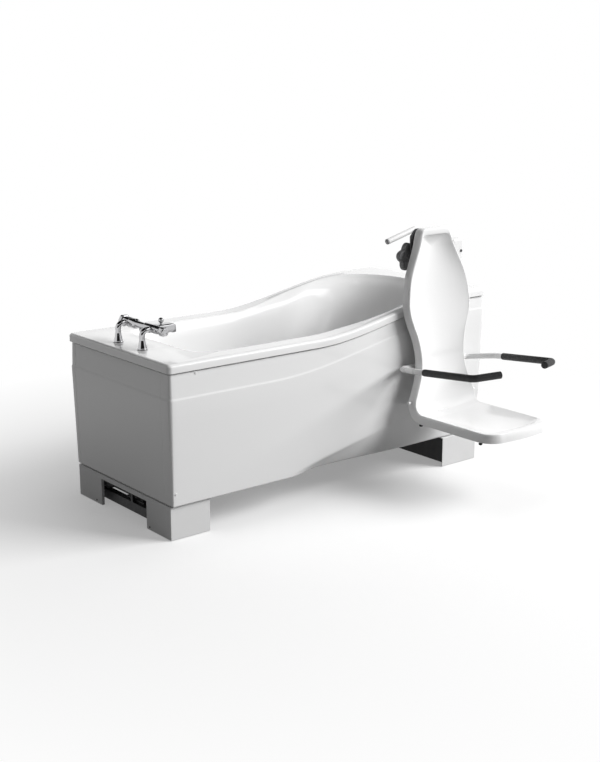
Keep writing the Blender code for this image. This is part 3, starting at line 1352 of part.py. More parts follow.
def shell_outline():
    """Half outline of the shell, unrolled along the crest line: (half width, distance from the top)."""
    back = [Vector((half, crest_distance(z=height) if height < SHELL_TOP else 0.0))
            for half, height in BACK_OUTLINE]
    front = crest_distance(y=SEAT_FRONT_Y)
    curve = spline(back, 2)
    corner_start = front - FRONT_BOW - FRONT_CORNER
    bend = bend_stations()
    side = [Vector((SEAT_HALF, distance)) for distance in bend]
    side += [Vector((SEAT_HALF, mix(bend[-1], corner_start, i / 4))) for i in range(1, 4)]
    arc = []
    for i in range(6):
        angle = math.pi / 2 * i / 5
        arc.append(Vector((SEAT_HALF - FRONT_CORNER * (1 - math.cos(angle)),
                           corner_start + FRONT_CORNER * math.sin(angle))))
    bow = []
    flat = SEAT_HALF - FRONT_CORNER
    for i in range(1, 4):
        half = flat * (1 - i / 3)
        bow.append(Vector((half, front - FRONT_BOW * (half / flat) ** 2)))
    return curve + side + arc + bow


def inward(outline, i):
    """Direction across the outline towards its middle, with the ends mirrored."""
    ahead = outline[i + 1] if i + 1 < len(outline) else Vector((-outline[i - 1].x, outline[i - 1].y))
    behind = outline[i - 1] if i > 0 else Vector((-outline[1].x, outline[1].y))
    along = (ahead - behind).normalized()
    return Vector((-along.y, along.x))


def shell_rings():
    """Rings of (half width, distance, depth behind the crest), from the flange's edge to the middle."""
    outline = shell_outline()
    spine_end = outline[-1].y - SPINE_SETBACK
    rolls = [(0.0, None), (0.002, 0.018), (0.006, 0.005), (0.015, 0.0), (0.026, 0.003)]
    rows = []
    for step, (inset, depth) in enumerate(rolls):
        row = []
        for i, point in enumerate(outline):
            lip = FRONT_LIP * smoothstep((point.y - spine_end) / 0.08) if step == len(rolls) - 1 else 0.0
            place = point + inward(outline, i) * (inset + lip)
            row.append((max(place.x, 0.0), place.y, flange_depth(point.y) if depth is None else depth))
        rows.append(row)
    edge = rows[-1]
    for share, sink in ((0.32, 0.60), (1.0, 1.0)):
        row = []
        for half, distance, depth in edge:
            spine = min(max(distance, SPINE_TOP), spine_end)
            full = dish_depth(spine)
            row.append((half * (1 - share), mix(distance, spine, share), mix(depth, full, sink)))
        rows.append(row)
    return rows


def shell_place(half, distance, depth, side):
    point, rear = crest_point(distance)
    return Vector((SEAT_X + side * half, 0.0, 0.0)) + point + rear * depth


def make_shell():
    rows = shell_rings()
    surface = bmesh.new()
    for side in (1.0, -1.0):
        grid = [[surface.verts.new(shell_place(*place, side)) for place in row] for row in rows]
        for low, high in zip(grid, grid[1:]):
            for i in range(len(low) - 1):
                surface.faces.new((low[i], low[i + 1], high[i + 1], high[i]))
    bmesh.ops.remove_doubles(surface, verts=surface.verts, dist=0.00001)
    bmesh.ops.recalc_face_normals(surface, faces=surface.faces)
    seat = min(surface.faces, key=lambda face: (face.calc_center_median()
                                                - Vector((SEAT_X, -0.70, SEAT_RIM_Z))).length)
    if seat.normal.z < 0:
        bmesh.ops.reverse_faces(surface, faces=surface.faces)
    add("seat_shell", "chair", "gelcoat", solidified(surface, SEAT_WALL), 50.0)

    sides = (("right", -1.0), ("left", 1.0))
    width = SEAT_HALF - PEG_SEAT
    for name, side in sides:
        root = SEAT_X + side * (width + GAP)
        tip = root + side * PEG_LENGTH
        peg = cylinder(PEG_RADIUS, min(root, tip), max(root, tip), (PEG_Y, PEG_HEIGHT), "X", 16)
        add("shell_peg_" + name, "chair", "white_paint", peg)

    top = SEAT_RIM_Z - FLANGE_DEPTH - 2 * GAP
    profile = [(0.7 * BUFFER_RADIUS, top - BUFFER_HEIGHT), (BUFFER_RADIUS, top - 0.7 * BUFFER_HEIGHT),
               (BUFFER_RADIUS, top)]
    for name, side in sides:
        x = SEAT_X + side * (SEAT_HALF - BUFFER_INSET)
        for end, y in (("rear", BUFFER_REAR_Y), ("front", BUFFER_FRONT_Y)):
            buffer = turned(profile, (x, y, 0.0), "Z", 14)
            add("seat_buffer_" + end + "_" + name, "chair", "rubber", buffer)


# Seat carrier

def strap_place(distance, layer):
    """Point of the strap behind the shell's middle, at a layer above its front face."""
    point, rear = crest_point(distance)
    return point + rear * (dish_depth(distance) + SEAT_WALL + 2 * GAP + layer)


def strap_rear_y(height):
    """Depth of the strap's rear face at a height up the back."""
    crest = height
    for _ in range(4):
        place = strap_place(crest_distance(z=crest), STRAP_THICKNESS)
        crest += height - place.z
    return place.y


def make_carrier(block_low):
    start = crest_distance(z=STRAP_TOP)
    end = crest_distance(y=STRAP_FRONT_Y)
    half = STRAP_WIDTH / 2
    bend = bend_stations()
    stations = [mix(start, bend[0], i / STRAP_STEPS) for i in range(STRAP_STEPS)] + bend + [end]
    rings = []
    for distance in stations:
        front = strap_place(distance, 0.0)
        back = strap_place(distance, STRAP_THICKNESS)
        rings.append([(SEAT_X - half, front.y, front.z), (SEAT_X + half, front.y, front.z),
                      (SEAT_X + half, back.y, back.z), (SEAT_X - half, back.y, back.z)])
    strap = loft(rings)
    at_pivot = strap_place(crest_distance(z=PIVOT_Z), STRAP_THICKNESS / 2)
    block = box((SEAT_X - PIVOT_BLOCK_HALF, at_pivot.y, PIVOT_Z - PIVOT_BLOCK_HEIGHT / 2),
                (SEAT_X + PIVOT_BLOCK_HALF, PIVOT_Y + PIVOT_BLOCK_REAR, PIVOT_Z + PIVOT_BLOCK_HEIGHT / 2))
    bore = cylinder(PIVOT_RADIUS + GAP, SEAT_X - 0.1, SEAT_X + 0.1, (PIVOT_Y, PIVOT_Z), "X", 20)
    add("back_frame", "chair", "white_paint", cut(fuse(strap, block), bore), 30.0)

    shaft = cylinder(PIVOT_RADIUS, SEAT_X - PIVOT_HALF, SEAT_X + PIVOT_HALF, (PIVOT_Y, PIVOT_Z), "X", 20)
    add("arm_pivot_shaft", "chair", "steel", shaft)

    x0 = MAST_X - BLOCK_LENGTH / 2
    x1 = MAST_X + BLOCK_LENGTH / 2
    y0 = MAST_Y - BLOCK_WIDTH / 2
    y1 = MAST_Y + BLOCK_WIDTH / 2
    block_top = block_low + BLOCK_HEIGHT
    block = rounded_block((x0, y0, block_low), (x1, y1, block_top), BLOCK_CORNER, 0.010)
    socket = cylinder(SPINDLE_RADIUS + GAP, block_low - 0.01, block_low + SPINDLE_LENGTH, (MAST_X, MAST_Y),
                      "Z", 20)
    add("hanger_block", "chair", "white_paint", cut(block, socket))

    rings = []
    for height in (HANGER_BOTTOM, HANGER_BOTTOM + HANGER_HEIGHT):
        front = strap_rear_y(height) + GAP
        left = SEAT_X - HANGER_OVERLAP
        right = x0 - GAP
        corners = [(left, front), (SEAT_X + half + HANGER_KNEE, front), (right, y0 + HANGER_FRONT_INSET),
                   (right, y1 - HANGER_REAR_INSET), (SEAT_X + half, front + HANGER_KNEE),
                   (left, front + HANGER_DEPTH)]
        rings.append([(x, y, height) for x, y in rounded(corners, HANGER_ROUNDING, 2)])
    add("hanger_arm", "chair", "white_paint", loft(rings), 30.0)


def make_steering():
    y0 = BRACKET_Y
    y1 = BRACKET_Y + BRACKET_THICKNESS
    shoulder = BRACKET_TOP - BRACKET_SLOPE
    corners = [(BRACKET_X0, shoulder), (BRACKET_X0 + 0.004, BRACKET_BOTTOM), (BRACKET_X1, BRACKET_BOTTOM),
               (BRACKET_X1, shoulder), (BRACKET_X0 + 0.055, BRACKET_TOP), (BRACKET_X0 + 0.030, BRACKET_TOP)]
    plate = prism(rounded(corners, 0.010, 2), y0, y1, "Y")
    boss_low = BRACKET_BOTTOM + BOSS_LIFT
    boss_high = boss_low + BOSS_HEIGHT
    front = strap_rear_y(boss_high) + GAP
    boss = box((SEAT_X - STRAP_WIDTH / 2 + BOSS_INSET, front, boss_low),
               (BRACKET_X1 - BOSS_INSET, y0 + 0.002, boss_high))
    add("handle_bracket", "chair", "dark_plastic", fuse(plate, boss), 30.0)

    def lobes(angle):
        share = 0.5 + 0.5 * math.cos(WHEEL_LOBES * (angle - WHEEL_PHASE))
        return (WHEEL_WAIST + (WHEEL_RADIUS - WHEEL_WAIST) * share ** 0.7) / WHEEL_RADIUS

    hub = y1 + GAP
    rim0 = hub + WHEEL_HUB_LENGTH
    rim1 = rim0 + WHEEL_WIDTH
    profile = [(0.0, hub), (WHEEL_HUB_RADIUS, hub), (WHEEL_HUB_RADIUS, rim0), (WHEEL_RADIUS - 0.006, rim0),
               (WHEEL_RADIUS, rim0 + 0.006), (WHEEL_RADIUS, rim1 - 0.006), (WHEEL_RADIUS - 0.006, rim1),
               (0.0, rim1)]
    wheel = turned(profile, (WHEEL_X, WHEEL_Z, 0.0), "Y", 40, wave=lobes)
    add("clamp_handwheel", "clamp_body", "dark_plastic", wheel)

    axis_y = y1 + GAP + STEER_RADIUS
    root = Vector((STEER_ROOT[0], axis_y, STEER_ROOT[1]))
    tip = Vector((STEER_TIP[0], axis_y, STEER_TIP[1]))
    along = (tip - root).normalized()
    frames = side_frames([root, tip])
    bore = STEER_RADIUS - STEER_WALL
    rings = [round_ring(root, frames[0], STEER_RADIUS, 20), round_ring(tip, frames[1], STEER_RADIUS, 20),
             round_ring(tip, frames[1], bore, 20), round_ring(root, frames[0], bore, 20)]
    add("steering_handle", "chair", "white_paint", loft(rings, cyclic=True))
    inside = STEER_RADIUS - STEER_WALL - GAP
    cap_profile = [(0.0, -0.012), (inside, -0.012), (inside, GAP), (STEER_RADIUS, GAP),
                   (STEER_RADIUS, STEER_CAP - 0.001), (STEER_RADIUS - 0.001, STEER_CAP), (0.0, STEER_CAP)]
    add("handle_cap", "chair", "grey_plastic", turned_along(cap_profile, tip, along, 20))


# Folding arms

def arm_route(side):
    """Middle line of one arm, from the pivot block out, forward and in at its end."""
    corners = [(SEAT_X + side * (PIVOT_BLOCK_HALF + GAP), PIVOT_Y, PIVOT_Z),
               (SEAT_X + side * ARM_ROOT_HALF, PIVOT_Y, PIVOT_Z),
               (SEAT_X + side * ARM_HALF, ARM_KNEE_Y, ARM_KNEE_Z),
               (SEAT_X + side * ARM_HALF, ARM_FRONT_Y, ARM_FRONT_Z),
               (SEAT_X + side * ARM_TIP_HALF, ARM_TIP_Y, ARM_TIP_Z)]
    return rounded(corners, [0.0, ARM_ROOT_BEND, ARM_KNEE_BEND, ARM_TIP_BEND, 0.0], 5, closed=False)


def make_arm(name, side):
    route = arm_route(side)
    grip_share = (GRIP_START_Y - ARM_KNEE_Y) / (ARM_FRONT_Y - ARM_KNEE_Y)
    start = Vector((SEAT_X + side * ARM_HALF, GRIP_START_Y, mix(ARM_KNEE_Z, ARM_FRONT_Z, grip_share)))
    first = next(i for i, point in enumerate(route) if point.y < GRIP_START_Y)
    route = route[:first] + [start] + route[first:]
    frames = side_frames(route)
    rings = [round_ring(p, f, ARM_RADIUS, ARM_SIDES) for p, f in zip(route, frames)]
    bore_end = Vector((SEAT_X + side * (PIVOT_HALF + 0.006), PIVOT_Y, PIVOT_Z))
    bore = (PIVOT_RADIUS + GAP) / math.cos(math.pi / ARM_SIDES)
    rings += [[route[-1]], [bore_end], round_ring(bore_end, frames[0], bore, ARM_SIDES),
              round_ring(route[0], frames[0], bore, ARM_SIDES)]
    add(name + "_tube", name, "white_paint", loft(rings, cyclic=True))

    sleeve = route[first:]
    frames = side_frames(route)[first:]
    end = sleeve[-1]
    ahead = (end - sleeve[-2]).normalized()
    outer = [round_ring(sleeve[0], frames[0], GRIP_RADIUS - 0.002, ARM_SIDES),
             round_ring(sleeve[0].lerp(sleeve[1], 0.015), frames[0], GRIP_RADIUS, ARM_SIDES)]
    outer += [round_ring(p, f, GRIP_RADIUS, ARM_SIDES) for p, f in zip(sleeve[1:], frames[1:])]
    for share, inset in ((0.6, 0.002), (1.0, 0.006)):
        outer.append(round_ring(end + ahead * share * GRIP_END, frames[-1], GRIP_RADIUS - inset, ARM_SIDES))
    outer.append([end + ahead * GRIP_END])
    bore = ARM_RADIUS + GAP
    inner = [[end + ahead * GAP]]
    inner += [round_ring(p + (ahead * GAP if p == end else Vector()), f, bore, ARM_SIDES)
              for p, f in reversed(list(zip(sleeve, frames)))]
    add(name + "_grip", name, "grip_foam", loft(outer + inner, cyclic=True))


for item in list(bpy.data.objects):
    bpy.data.objects.remove(item)
materials = make_materials()
empties = make_bodies()
make_base()
make_cradle()
make_tub()
make_panels()
make_waste()
make_tap()
make_shell()
make_carrier(make_mast())
make_steering()
make_arm("right_arm", -1.0)
make_arm("left_arm", 1.0)
bpy.context.view_layer.update()
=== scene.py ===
"""Looks of a height-adjustable assisted bath with a powered transfer seat.

Bath coordinates, in metres: X runs from the foot end to the head end, Y from the middle of the bath to the
rear, and Z up from the floor. Pieces are made in them and then shifted along Y by MIDDLE, where the tub is.
The front, at negative Y, is the side of the seat. A span along X or along the shell is its (start, length).
"""
import json
from math import cos, pi, radians, sin, tan

import bmesh
import bpy
from mathutils import Matrix, Vector


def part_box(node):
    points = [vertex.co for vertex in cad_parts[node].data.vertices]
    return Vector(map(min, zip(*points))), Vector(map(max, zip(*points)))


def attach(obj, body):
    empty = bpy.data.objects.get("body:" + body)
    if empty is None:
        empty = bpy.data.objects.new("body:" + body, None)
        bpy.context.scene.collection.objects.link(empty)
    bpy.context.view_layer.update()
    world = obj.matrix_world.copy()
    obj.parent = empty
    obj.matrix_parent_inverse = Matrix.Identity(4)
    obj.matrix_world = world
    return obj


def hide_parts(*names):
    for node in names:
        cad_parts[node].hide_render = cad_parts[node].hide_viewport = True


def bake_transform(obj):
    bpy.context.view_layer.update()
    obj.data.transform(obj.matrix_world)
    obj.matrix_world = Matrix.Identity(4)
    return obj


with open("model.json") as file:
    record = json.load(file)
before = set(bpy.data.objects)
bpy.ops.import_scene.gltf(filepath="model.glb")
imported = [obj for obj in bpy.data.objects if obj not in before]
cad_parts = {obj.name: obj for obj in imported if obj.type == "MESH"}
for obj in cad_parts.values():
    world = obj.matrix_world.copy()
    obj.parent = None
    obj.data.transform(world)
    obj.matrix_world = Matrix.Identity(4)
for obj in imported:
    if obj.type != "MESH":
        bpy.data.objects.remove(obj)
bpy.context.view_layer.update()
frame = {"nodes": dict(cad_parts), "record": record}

TUB_LOW, TUB_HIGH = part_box("tub")
MIDDLE = (TUB_LOW.y + TUB_HIGH.y) / 2
GAP = 0.0003

# Rim and tub, with the rise of the rim and the widening of the basin as spans
RIM_LENGTH = TUB_HIGH.x - TUB_LOW.x
RIM_WIDTH = TUB_HIGH.y - TUB_LOW.y
RIM_HEAD_HEIGHT = TUB_HIGH.z
RIM_FOOT_HEIGHT = 0.702
RIM_RISE = (-0.120, 0.780)
RIM_CORNER = 0.018
RIM_EDGE = 0.014
SKIRT_DEPTH = 0.035
SKIRT_LIP = 0.0015
SHELL_WALL = 0.006
BASIN_FOOT_X = -0.655
BASIN_HEAD_X = 0.735
BASIN_FOOT_HALF = 0.300
BASIN_HEAD_HALF = 0.340
BASIN_WIDENING = (-0.02, 0.34)
BASIN_FOOT_CORNER = 0.120
BASIN_HEAD_CORNER = (0.295, 0.290)
FLOOR_HEIGHT = 0.300
FLOOR_FOOT_X = -0.520
FLOOR_HEAD_X = 0.350
FLOOR_HALF = 0.235
FLOOR_CORNER = 0.110
FLOOR_FILLET = 0.060

# Basin wall as (way out, way up) shares, for the sides and for the sloping head end, and the span between
SIDE_WALL = [(1.0, 1.0), (0.90, 0.982), (0.60, 0.89), (0.42, 0.72), (0.18, 0.38)]
HEAD_WALL = [(1.0, 1.0), (0.955, 0.975), (0.83, 0.90), (0.62, 0.72), (0.28, 0.38)]
HEAD_WALL_CHANGE = (0.40, 0.30)

# Steps of each part of the rim's and the basin's half outline, from the foot end to the head end
END_STEPS = 6
LEAD_STEPS = 4
ARC_STEPS = 8
SIDE_STEPS = 56
HEAD_LEAD_STEPS = 14
HEAD_TAIL_STEPS = 10

# Panels; an inset is measured inwards from the rim's outline
PANEL_WALL = 0.004
PANEL_BOTTOM = 0.139
PANEL_CORNER = 0.012
PANEL_CORNER_LEAST = 0.003
PANEL_EDGE = 0.009
PANEL_STEPS = 96
BAND_INSET = 0.008
BAND_STEP = 0.004
BAND_RUN = 0.008
BAND_INSETS = (0.0060, 0.0095)
BAND_ROUND = 0.002
BAND_HEIGHTS = (0.567, 0.720)
BAND_RISE = (-0.350, 1.100)
SHADOW_GAP = 0.005
SHADOW_INSET = 0.014
FACE_INSET = 0.003
FOOT_INSET = 0.014
PANEL_TUCK = 0.010
CREASE_START = -0.300
CREASE_RISE = 0.200
CREASE_ROUND = 0.010
UNDERCUT = 0.040
UNDERCUT_GROWTH = (-0.26, 0.18)
UNDERCUT_EASING = (0.0, 0.40)
FRONT_SEAM_Y = -0.314
REAR_SEAM_Y = 0.340
SEAM_GAP = 0.0006
SEAM_EASE = 0.0010

# Waste, overflow and hose
WASTE_X = -0.420
WASTE_FLANGE_RADIUS = 0.035
WASTE_BODY_RADIUS = 0.022
WASTE_BORE_RADIUS = 0.016
WASTE_FLANGE = 0.003
TRAP_RADIUS = 0.045
TRAP_TOP = 0.262
TRAP_BOTTOM = 0.205
TRAP_STUB = 0.030
OVERFLOW_LEVEL = 0.760
OVERFLOW_RADIUS = 0.032
HOSE_RIB_RADIUS = 0.020
HOSE_VALLEY_RADIUS = 0.0165
HOSE_BORE_RADIUS = 0.0125
HOSE_RIBS = 30
HOSE_RIB_STEPS = 6
HOSE_BENDS = [(-0.545, -0.028, 0.196), (-0.580, -0.092, 0.132), (-0.607, -0.124, 0.095)]
SOCKET_MOUTH = (-0.644, -0.130, 0.086)

# Tap
TAP_X = -0.780
TAP_SPACING = 0.180
TAP_LEG_FLARE = 0.021
TAP_LEG_NECK = 0.0115
TAP_SHANK_RADIUS = 0.010
TAP_SHANK_LENGTH = 0.040
TAP_BODY = (-0.728, 0.779)
TAP_BODY_X, TAP_BODY_Z = TAP_BODY
TAP_BODY_RADIUS = 0.0175
TAP_BODY_FRONT = -0.146
TAP_BODY_REAR = 0.112
TAP_REAR_RADIUS = 0.0205
SPOUT_Y = -0.100
SPOUT_WIDTH = 0.046
SPOUT_HEIGHT = 0.034
SPOUT_REACH = 0.068
SPOUT_CORNER = 0.007
HANDLE_RADIUS = 0.0185
HANDLE_LENGTH = 0.030
REAR_HANDLE_RADIUS = 0.024
REAR_HANDLE_LENGTH = 0.028
KNOB_OFFSET = 0.030
KNOB_RADIUS = 0.011
KNOB_STEM_RADIUS = 0.004
KNOB_STEM_DEPTH = 0.014

# Seat lift
MAST_X = 0.740
MAST_Y = -0.270
MAST_OUTER = 0.070
MAST_CLEARANCE = 0.004

# Seat shell
SEAT_OFFSET = 0.227
SEAT_X = MAST_X - SEAT_OFFSET
SHELL_TOP = 1.110
BACK_LEAN = 0.118
BACK_FOOT = (-0.477, 0.370)
BACK_TOP = Vector((0.0, BACK_FOOT[0] + BACK_LEAN * (SHELL_TOP - BACK_FOOT[1]), SHELL_TOP))
BACK_DOWN = Vector((0.0, -BACK_LEAN, -1.0)).normalized()
BACK_REAR = Vector((0.0, -BACK_DOWN.z, BACK_DOWN.y))
SEAT_RIM_Z = 0.331
SEAT_FRONT_Y = -0.930
SEAT_AHEAD = Vector((0.0, -1.0, 0.0))
FOLD_RADIUS = 0.040
FOLD_SHARE = 0.35
FLANGE_DEPTH = 0.037
BACK_FLANGE_DEPTH = 0.033
FLANGE_NARROWING = (0.040, 0.120)
SEAT_WALL = 0.005
BACK_DISH_TOP = 0.030
BACK_DISH_WAIST = 0.022
SEAT_DISH = 0.025
FRONT_LIP = 0.022
CROWN_LIP = 0.014
SEAT_HALF = 0.190
FRONT_CORNER = 0.080
FRONT_BOW = 0.008
WAIST_Z = 0.54
SHOULDER_Z = 0.85

# Distances from the top at which the shell's crest line starts and ends its bend into the seat
FOLD_TURN = BACK_DOWN.angle(SEAT_AHEAD)
FOLD_START = (SHELL_TOP - SEAT_RIM_Z) / -BACK_DOWN.z - FOLD_RADIUS * tan(FOLD_TURN / 2)
FOLD_END = FOLD_START + FOLD_RADIUS * FOLD_TURN

# Section of the dish as (way to the middle, way down) shares
DISH_SECTION = [(0.08, 0.16), (0.20, 0.37), (0.36, 0.60), (0.56, 0.81), (0.78, 0.95), (1.0, 1.0)]

# Half width of the back at heights above the floor, from the crown to the hips
BACK_OUTLINE = [(0.0, 1.110), (0.045, 1.1095), (0.070, 1.107), (0.085, 1.097), (0.096, 1.074),
                (0.106, 1.044), (0.119, 1.015), (0.134, 0.985), (0.153, 0.946), (0.170, 0.905),
                (0.181, 0.860), (0.188, 0.815), (0.190, 0.782), (0.185, 0.742), (0.172, 0.700),
                (0.155, 0.655), (0.143, 0.610), (0.138, 0.570), (0.138, 0.535), (0.147, 0.485),
                (0.165, 0.438), (0.187, 0.388)]

# Steering handle and clamp
WHEEL_PLACE = (SEAT_X - 0.098, 0.982)
WHEEL_RADIUS = 0.0615
WHEEL_WAIST = 0.046
WHEEL_LOBES = 5
WHEEL_PHASE = radians(172.0)
WHEEL_WIDTH = 0.026
WHEEL_EDGE = 0.007
WHEEL_HUB_RADIUS = 0.014
WHEEL_HUB_LENGTH = 0.008
BRACKET_REAR_Y = -0.344
STEER_RADIUS = 0.012
STEER_WALL = 0.002
STEER_ROOT = (SEAT_X - 0.070, 1.100)
STEER_TIP = (SEAT_X - 0.225, 1.059)
STEER_CAP = 0.006

# Folding arms, with the (way out, Y, Z) of each corner of the tube and its bend
PIVOT_Y = -0.402
PIVOT_Z = 0.516
PIVOT_RADIUS = 0.0095
PIVOT_BORE_END = 0.106
ARM_RADIUS = 0.0125
ARM_CORNERS = [(0.0303, PIVOT_Y, PIVOT_Z), (0.200, PIVOT_Y, PIVOT_Z), (0.240, -0.540, 0.537),
               (0.240, -0.860, 0.569), (0.134, -0.906, 0.578)]
ARM_BENDS = [0.0, 0.035, 0.080, 0.030, 0.0]
GRIP_START_Y = -0.582
GRIP_RADIUS = 0.0150
GRIP_END = 0.004

# Body, slot, (radius, height, socket) and direction of each kind of fastener, and then their places
FASTENERS = {
    "panel_screw_cap": ("bath", "white_paint", (0.0055, 0.0022, 0.000825), (0.0, -1.0, 0.0)),
    "plinth_screw": ("base", "black_paint", (0.0040, 0.0016, 0.0016), (-1.0, 0.0, 0.0)),
    "hanger_bolt": ("chair", "dark_plastic", (0.0065, 0.004, 0.003), (0.0, -1.0, 0.0)),
}
SCREW_CAPS = [(-0.723, 0.654), (-0.822, 0.192)]
PLINTH_FACE_X = -0.839
PLINTH_SCREWS = [(-0.200, 0.014), (0.212, 0.014)]
HANGER_BOLTS = [(0.757, 0.975), (0.757, 0.915)]

# Edge rounding of the modelled nodes that stay in view
KEPT_EDGES = {
    0.0025: ["mast_outer"],
    0.0020: ["base_beam", "foot_column_outer", "head_column_outer", "foot_column_inner", "head_column_inner",
             "bath_frame", "bath_frame_foot", "deck_collar", "mast_inner", "hanger_arm"],
    0.0012: ["foot_plinth_cover", "head_plinth_cover", "shell_peg_right", "shell_peg_left", "handle_bracket"],
    0.0010: ["foot_base_frame", "head_base_frame", "foot_lift_motor", "head_lift_motor", "control_box",
             "hanger_block", "back_frame"],
    0.0008: ["waste_socket", "waste_trap", "swivel_spindle", "arm_pivot_shaft"],
    0.0006: ["seat_buffer_rear_right", "seat_buffer_front_right", "seat_buffer_rear_left",
             "seat_buffer_front_left"],
    0.0005: ["swivel_washer"],
}

# Colour, roughness, (scale, drift) of the tone, (scale, spread) of the gloss, (scale, height) of the relief,
# and what else a finish has
FINISHES = {
    "gelcoat": ((0.87, 0.87, 0.87), 0.16, (2.2, 0.006), (9.0, 0.015), (70.0, 0.00002), {"coat": 0.6}),
    "panel_white": ((0.84, 0.84, 0.84), 0.24, (1.6, 0.006), (7.0, 0.02), (55.0, 0.00002), {"coat": 0.35}),
    "plinth_paint": ((0.78, 0.78, 0.78), 0.42, (6.0, 0.04), (30.0, 0.06), (900.0, 0.00006), {}),
    # black_paint also colours the closing plates in the plinths' base frames: dark sheets that stand in for
    # the deep shade inside the plinths
    "black_paint": ((0.020, 0.020, 0.022), 0.50, (12.0, 0.3), (40.0, 0.08), (900.0, 0.00006), {}),
    "grey_paint": ((0.32, 0.33, 0.34), 0.45, (8.0, 0.10), (30.0, 0.08), (800.0, 0.00006), {}),
    "steel": ((0.62, 0.62, 0.63), 0.30, (300.0, 0.10), (500.0, 0.08), (900.0, 0.00002),
              {"metallic": 1.0, "stretch": (1.0, 1.0, 0.03)}),
    "chrome": ((0.52, 0.52, 0.53), 0.05, (20.0, 0.05), (60.0, 0.02), (40.0, 0.00001), {"metallic": 1.0}),
    "white_paint": ((0.84, 0.84, 0.84), 0.28, (10.0, 0.02), (30.0, 0.05), (500.0, 0.00003), {"coat": 0.2}),
    "dark_plastic": ((0.095, 0.095, 0.10), 0.50, (18.0, 0.12), (60.0, 0.06), (1400.0, 0.00006), {}),
    "wheel_plastic": ((0.22, 0.22, 0.225), 0.50, (18.0, 0.10), (60.0, 0.06), (1400.0, 0.00006), {}),
    "grey_plastic": ((0.40, 0.40, 0.41), 0.48, (18.0, 0.08), (60.0, 0.06), (1200.0, 0.00005), {}),
    "rubber": ((0.028, 0.028, 0.028), 0.78, (30.0, 0.2), (80.0, 0.06), (1000.0, 0.00008), {}),
    "grip_foam": ((0.016, 0.016, 0.017), 0.55, (40.0, 0.25), (90.0, 0.08), (700.0, 0.00016), {"cells": True}),
}

# Camera
CAMERA_PLACE = (-3.2928, -4.1851, 1.7849)
CAMERA_ELEVATION = 14.227
CAMERA_AZIMUTH = -38.878
FOCAL_PIXELS = 1253.07
PHOTO_LONG_SIDE = 762
SENSOR = 36.0

# Studio; the floor fades from its lift near the bath to white between the two radii of FLOOR_FADE
WHITE = (1.0, 1.0, 1.0, 1.0)
FLOOR_RADIUS = 9.0
FLOOR_COLOUR = 0.97
FLOOR_BOUNCE = 0.20
FLOOR_LIFT = 0.30
FLOOR_FADE = (1.0, 2.6)
WORLD_FILL = 0.15
CARD_COLOUR = (0.02, 0.02, 0.02, 1.0)
# Glow of the bright card, which is no lamp and only paints the key lamp's reflection
CARD_GLOW = 3.0
CARD_STEPS = 32

# Lamps: place, target, size and power
LAMPS = {
    "key": ((7.1, -6.2, 6.6), (0.0, 0.0, 0.5), (8.0, 5.0), 1720.0),
    "top": ((0.2, 0.4, 4.6), (0.0, 0.0, 0.6), (3.0, 2.0), 24.0),
}

# Cards that only reflections see, as start and end angle, and the (radius, height) of their lower and upper
# edges; the last is bright. The dark ones paint dark reflections into the chrome, and the bright one glows to
# paint the key lamp's reflection, since the lamps are hidden from reflections
CARDS = [(-170.0, -75.0, (6.0, 0.9), (6.0, 4.0)), (0.0, 360.0, (5.6, 5.4), (0.4, 5.6)),
         (40.0, 150.0, (5.6, 3.3), (5.6, 5.4)), (-70.0, -30.0, (5.2, 3.2), (4.0, 5.0))]


# Curves and outlines

def mix(a, b, t):
    return a + (b - a) * t


def smoothstep(t):
    t = min(max(t, 0.0), 1.0)
    return t * t * (3 - 2 * t)


def eased(x, span):
    """Smooth step from 0 to 1 over a span, given by its start and its length."""
    start, length = span
    return smoothstep((x - start) / length)


def shares(count, first=0):
    return [i / count for i in range(first, count + 1)]


def line(start, end, count):
    """Points in equal steps from the start on, without the end itself."""
    return [(mix(start[0], end[0], t), mix(start[1], end[1], t)) for t in shares(count)[:-1]]


def quarter(start, end, count, centre):
    """Quarter of an ellipse about a centre from one point to another, without the end itself."""
    turns = [(cos(pi / 2 * t), sin(pi / 2 * t)) for t in shares(count)[:-1]]
    return [tuple(c + (a - c) * u + (b - c) * v for a, b, c in zip(start, end, centre)) for u, v in turns]


def traced(start, parts):
    """Outline from a start through parts of (steps, end), or (steps, end, centre) for a quarter turn."""
    points = []
    for count, end, *centre in parts:
        points += quarter(start, end, count, *centre) if centre else line(start, end, count)
        start = end
    return points + [start]


def arc(radius, start, end, steps):
    """Points of an arc about the origin, between two angles in degrees."""
    angles = [radians(mix(start, end, t)) for t in shares(steps)]
    return [(radius * cos(a), radius * sin(a)) for a in angles]


def bend(start, corner, end, t):
    """Point of the curve that leaves the start towards the corner and comes from it to the end."""
    return start * (1 - t) ** 2 + corner * 2 * t * (1 - t) + end * t ** 2


def spline(points, steps, after=None):
    """Smooth curve through the points; after is the point beyond the last one, where it is known."""
    points = [Vector(p) for p in points]
    beyond = Vector(after) if after else 2 * points[-1] - points[-2]
    ends = [2 * points[0] - points[1], *points, beyond]
    curve = []
    for a, b, c, d in zip(ends, ends[1:], ends[2:], ends[3:]):
        for t in shares(steps)[:-1]:
            curve.append(0.5 * (2 * b + (c - a) * t + (2 * a - 5 * b + 4 * c - d) * t ** 2
                                + (3 * b - a - 3 * c + d) * t ** 3))
    return curve + [points[-1]]


def rounded(corners, radii, steps):
    """Polyline with each corner replaced by an arc of its radius, or kept where that is zero."""
    corners = [Vector(p) for p in corners]
    points = []
    for i, (corner, radius) in enumerate(zip(corners, radii)):
        if radius <= 0:
            points.append(corner)
            continue
        back = (corners[i - 1] - corner).normalized()
        ahead = (corners[(i + 1) % len(corners)] - corner).normalized()
        half = back.angle(ahead) / 2
        centre = corner + (back + ahead).normalized() * (radius / sin(half))
        start = corner + back * (radius / tan(half)) - centre
        end = corner + ahead * (radius / tan(half)) - centre
        turn = pi - 2 * half
        for t in shares(steps):
            arm = start * sin((1 - t) * turn) + end * sin(t * turn)
            points.append(centre + arm / sin(turn))
    return points


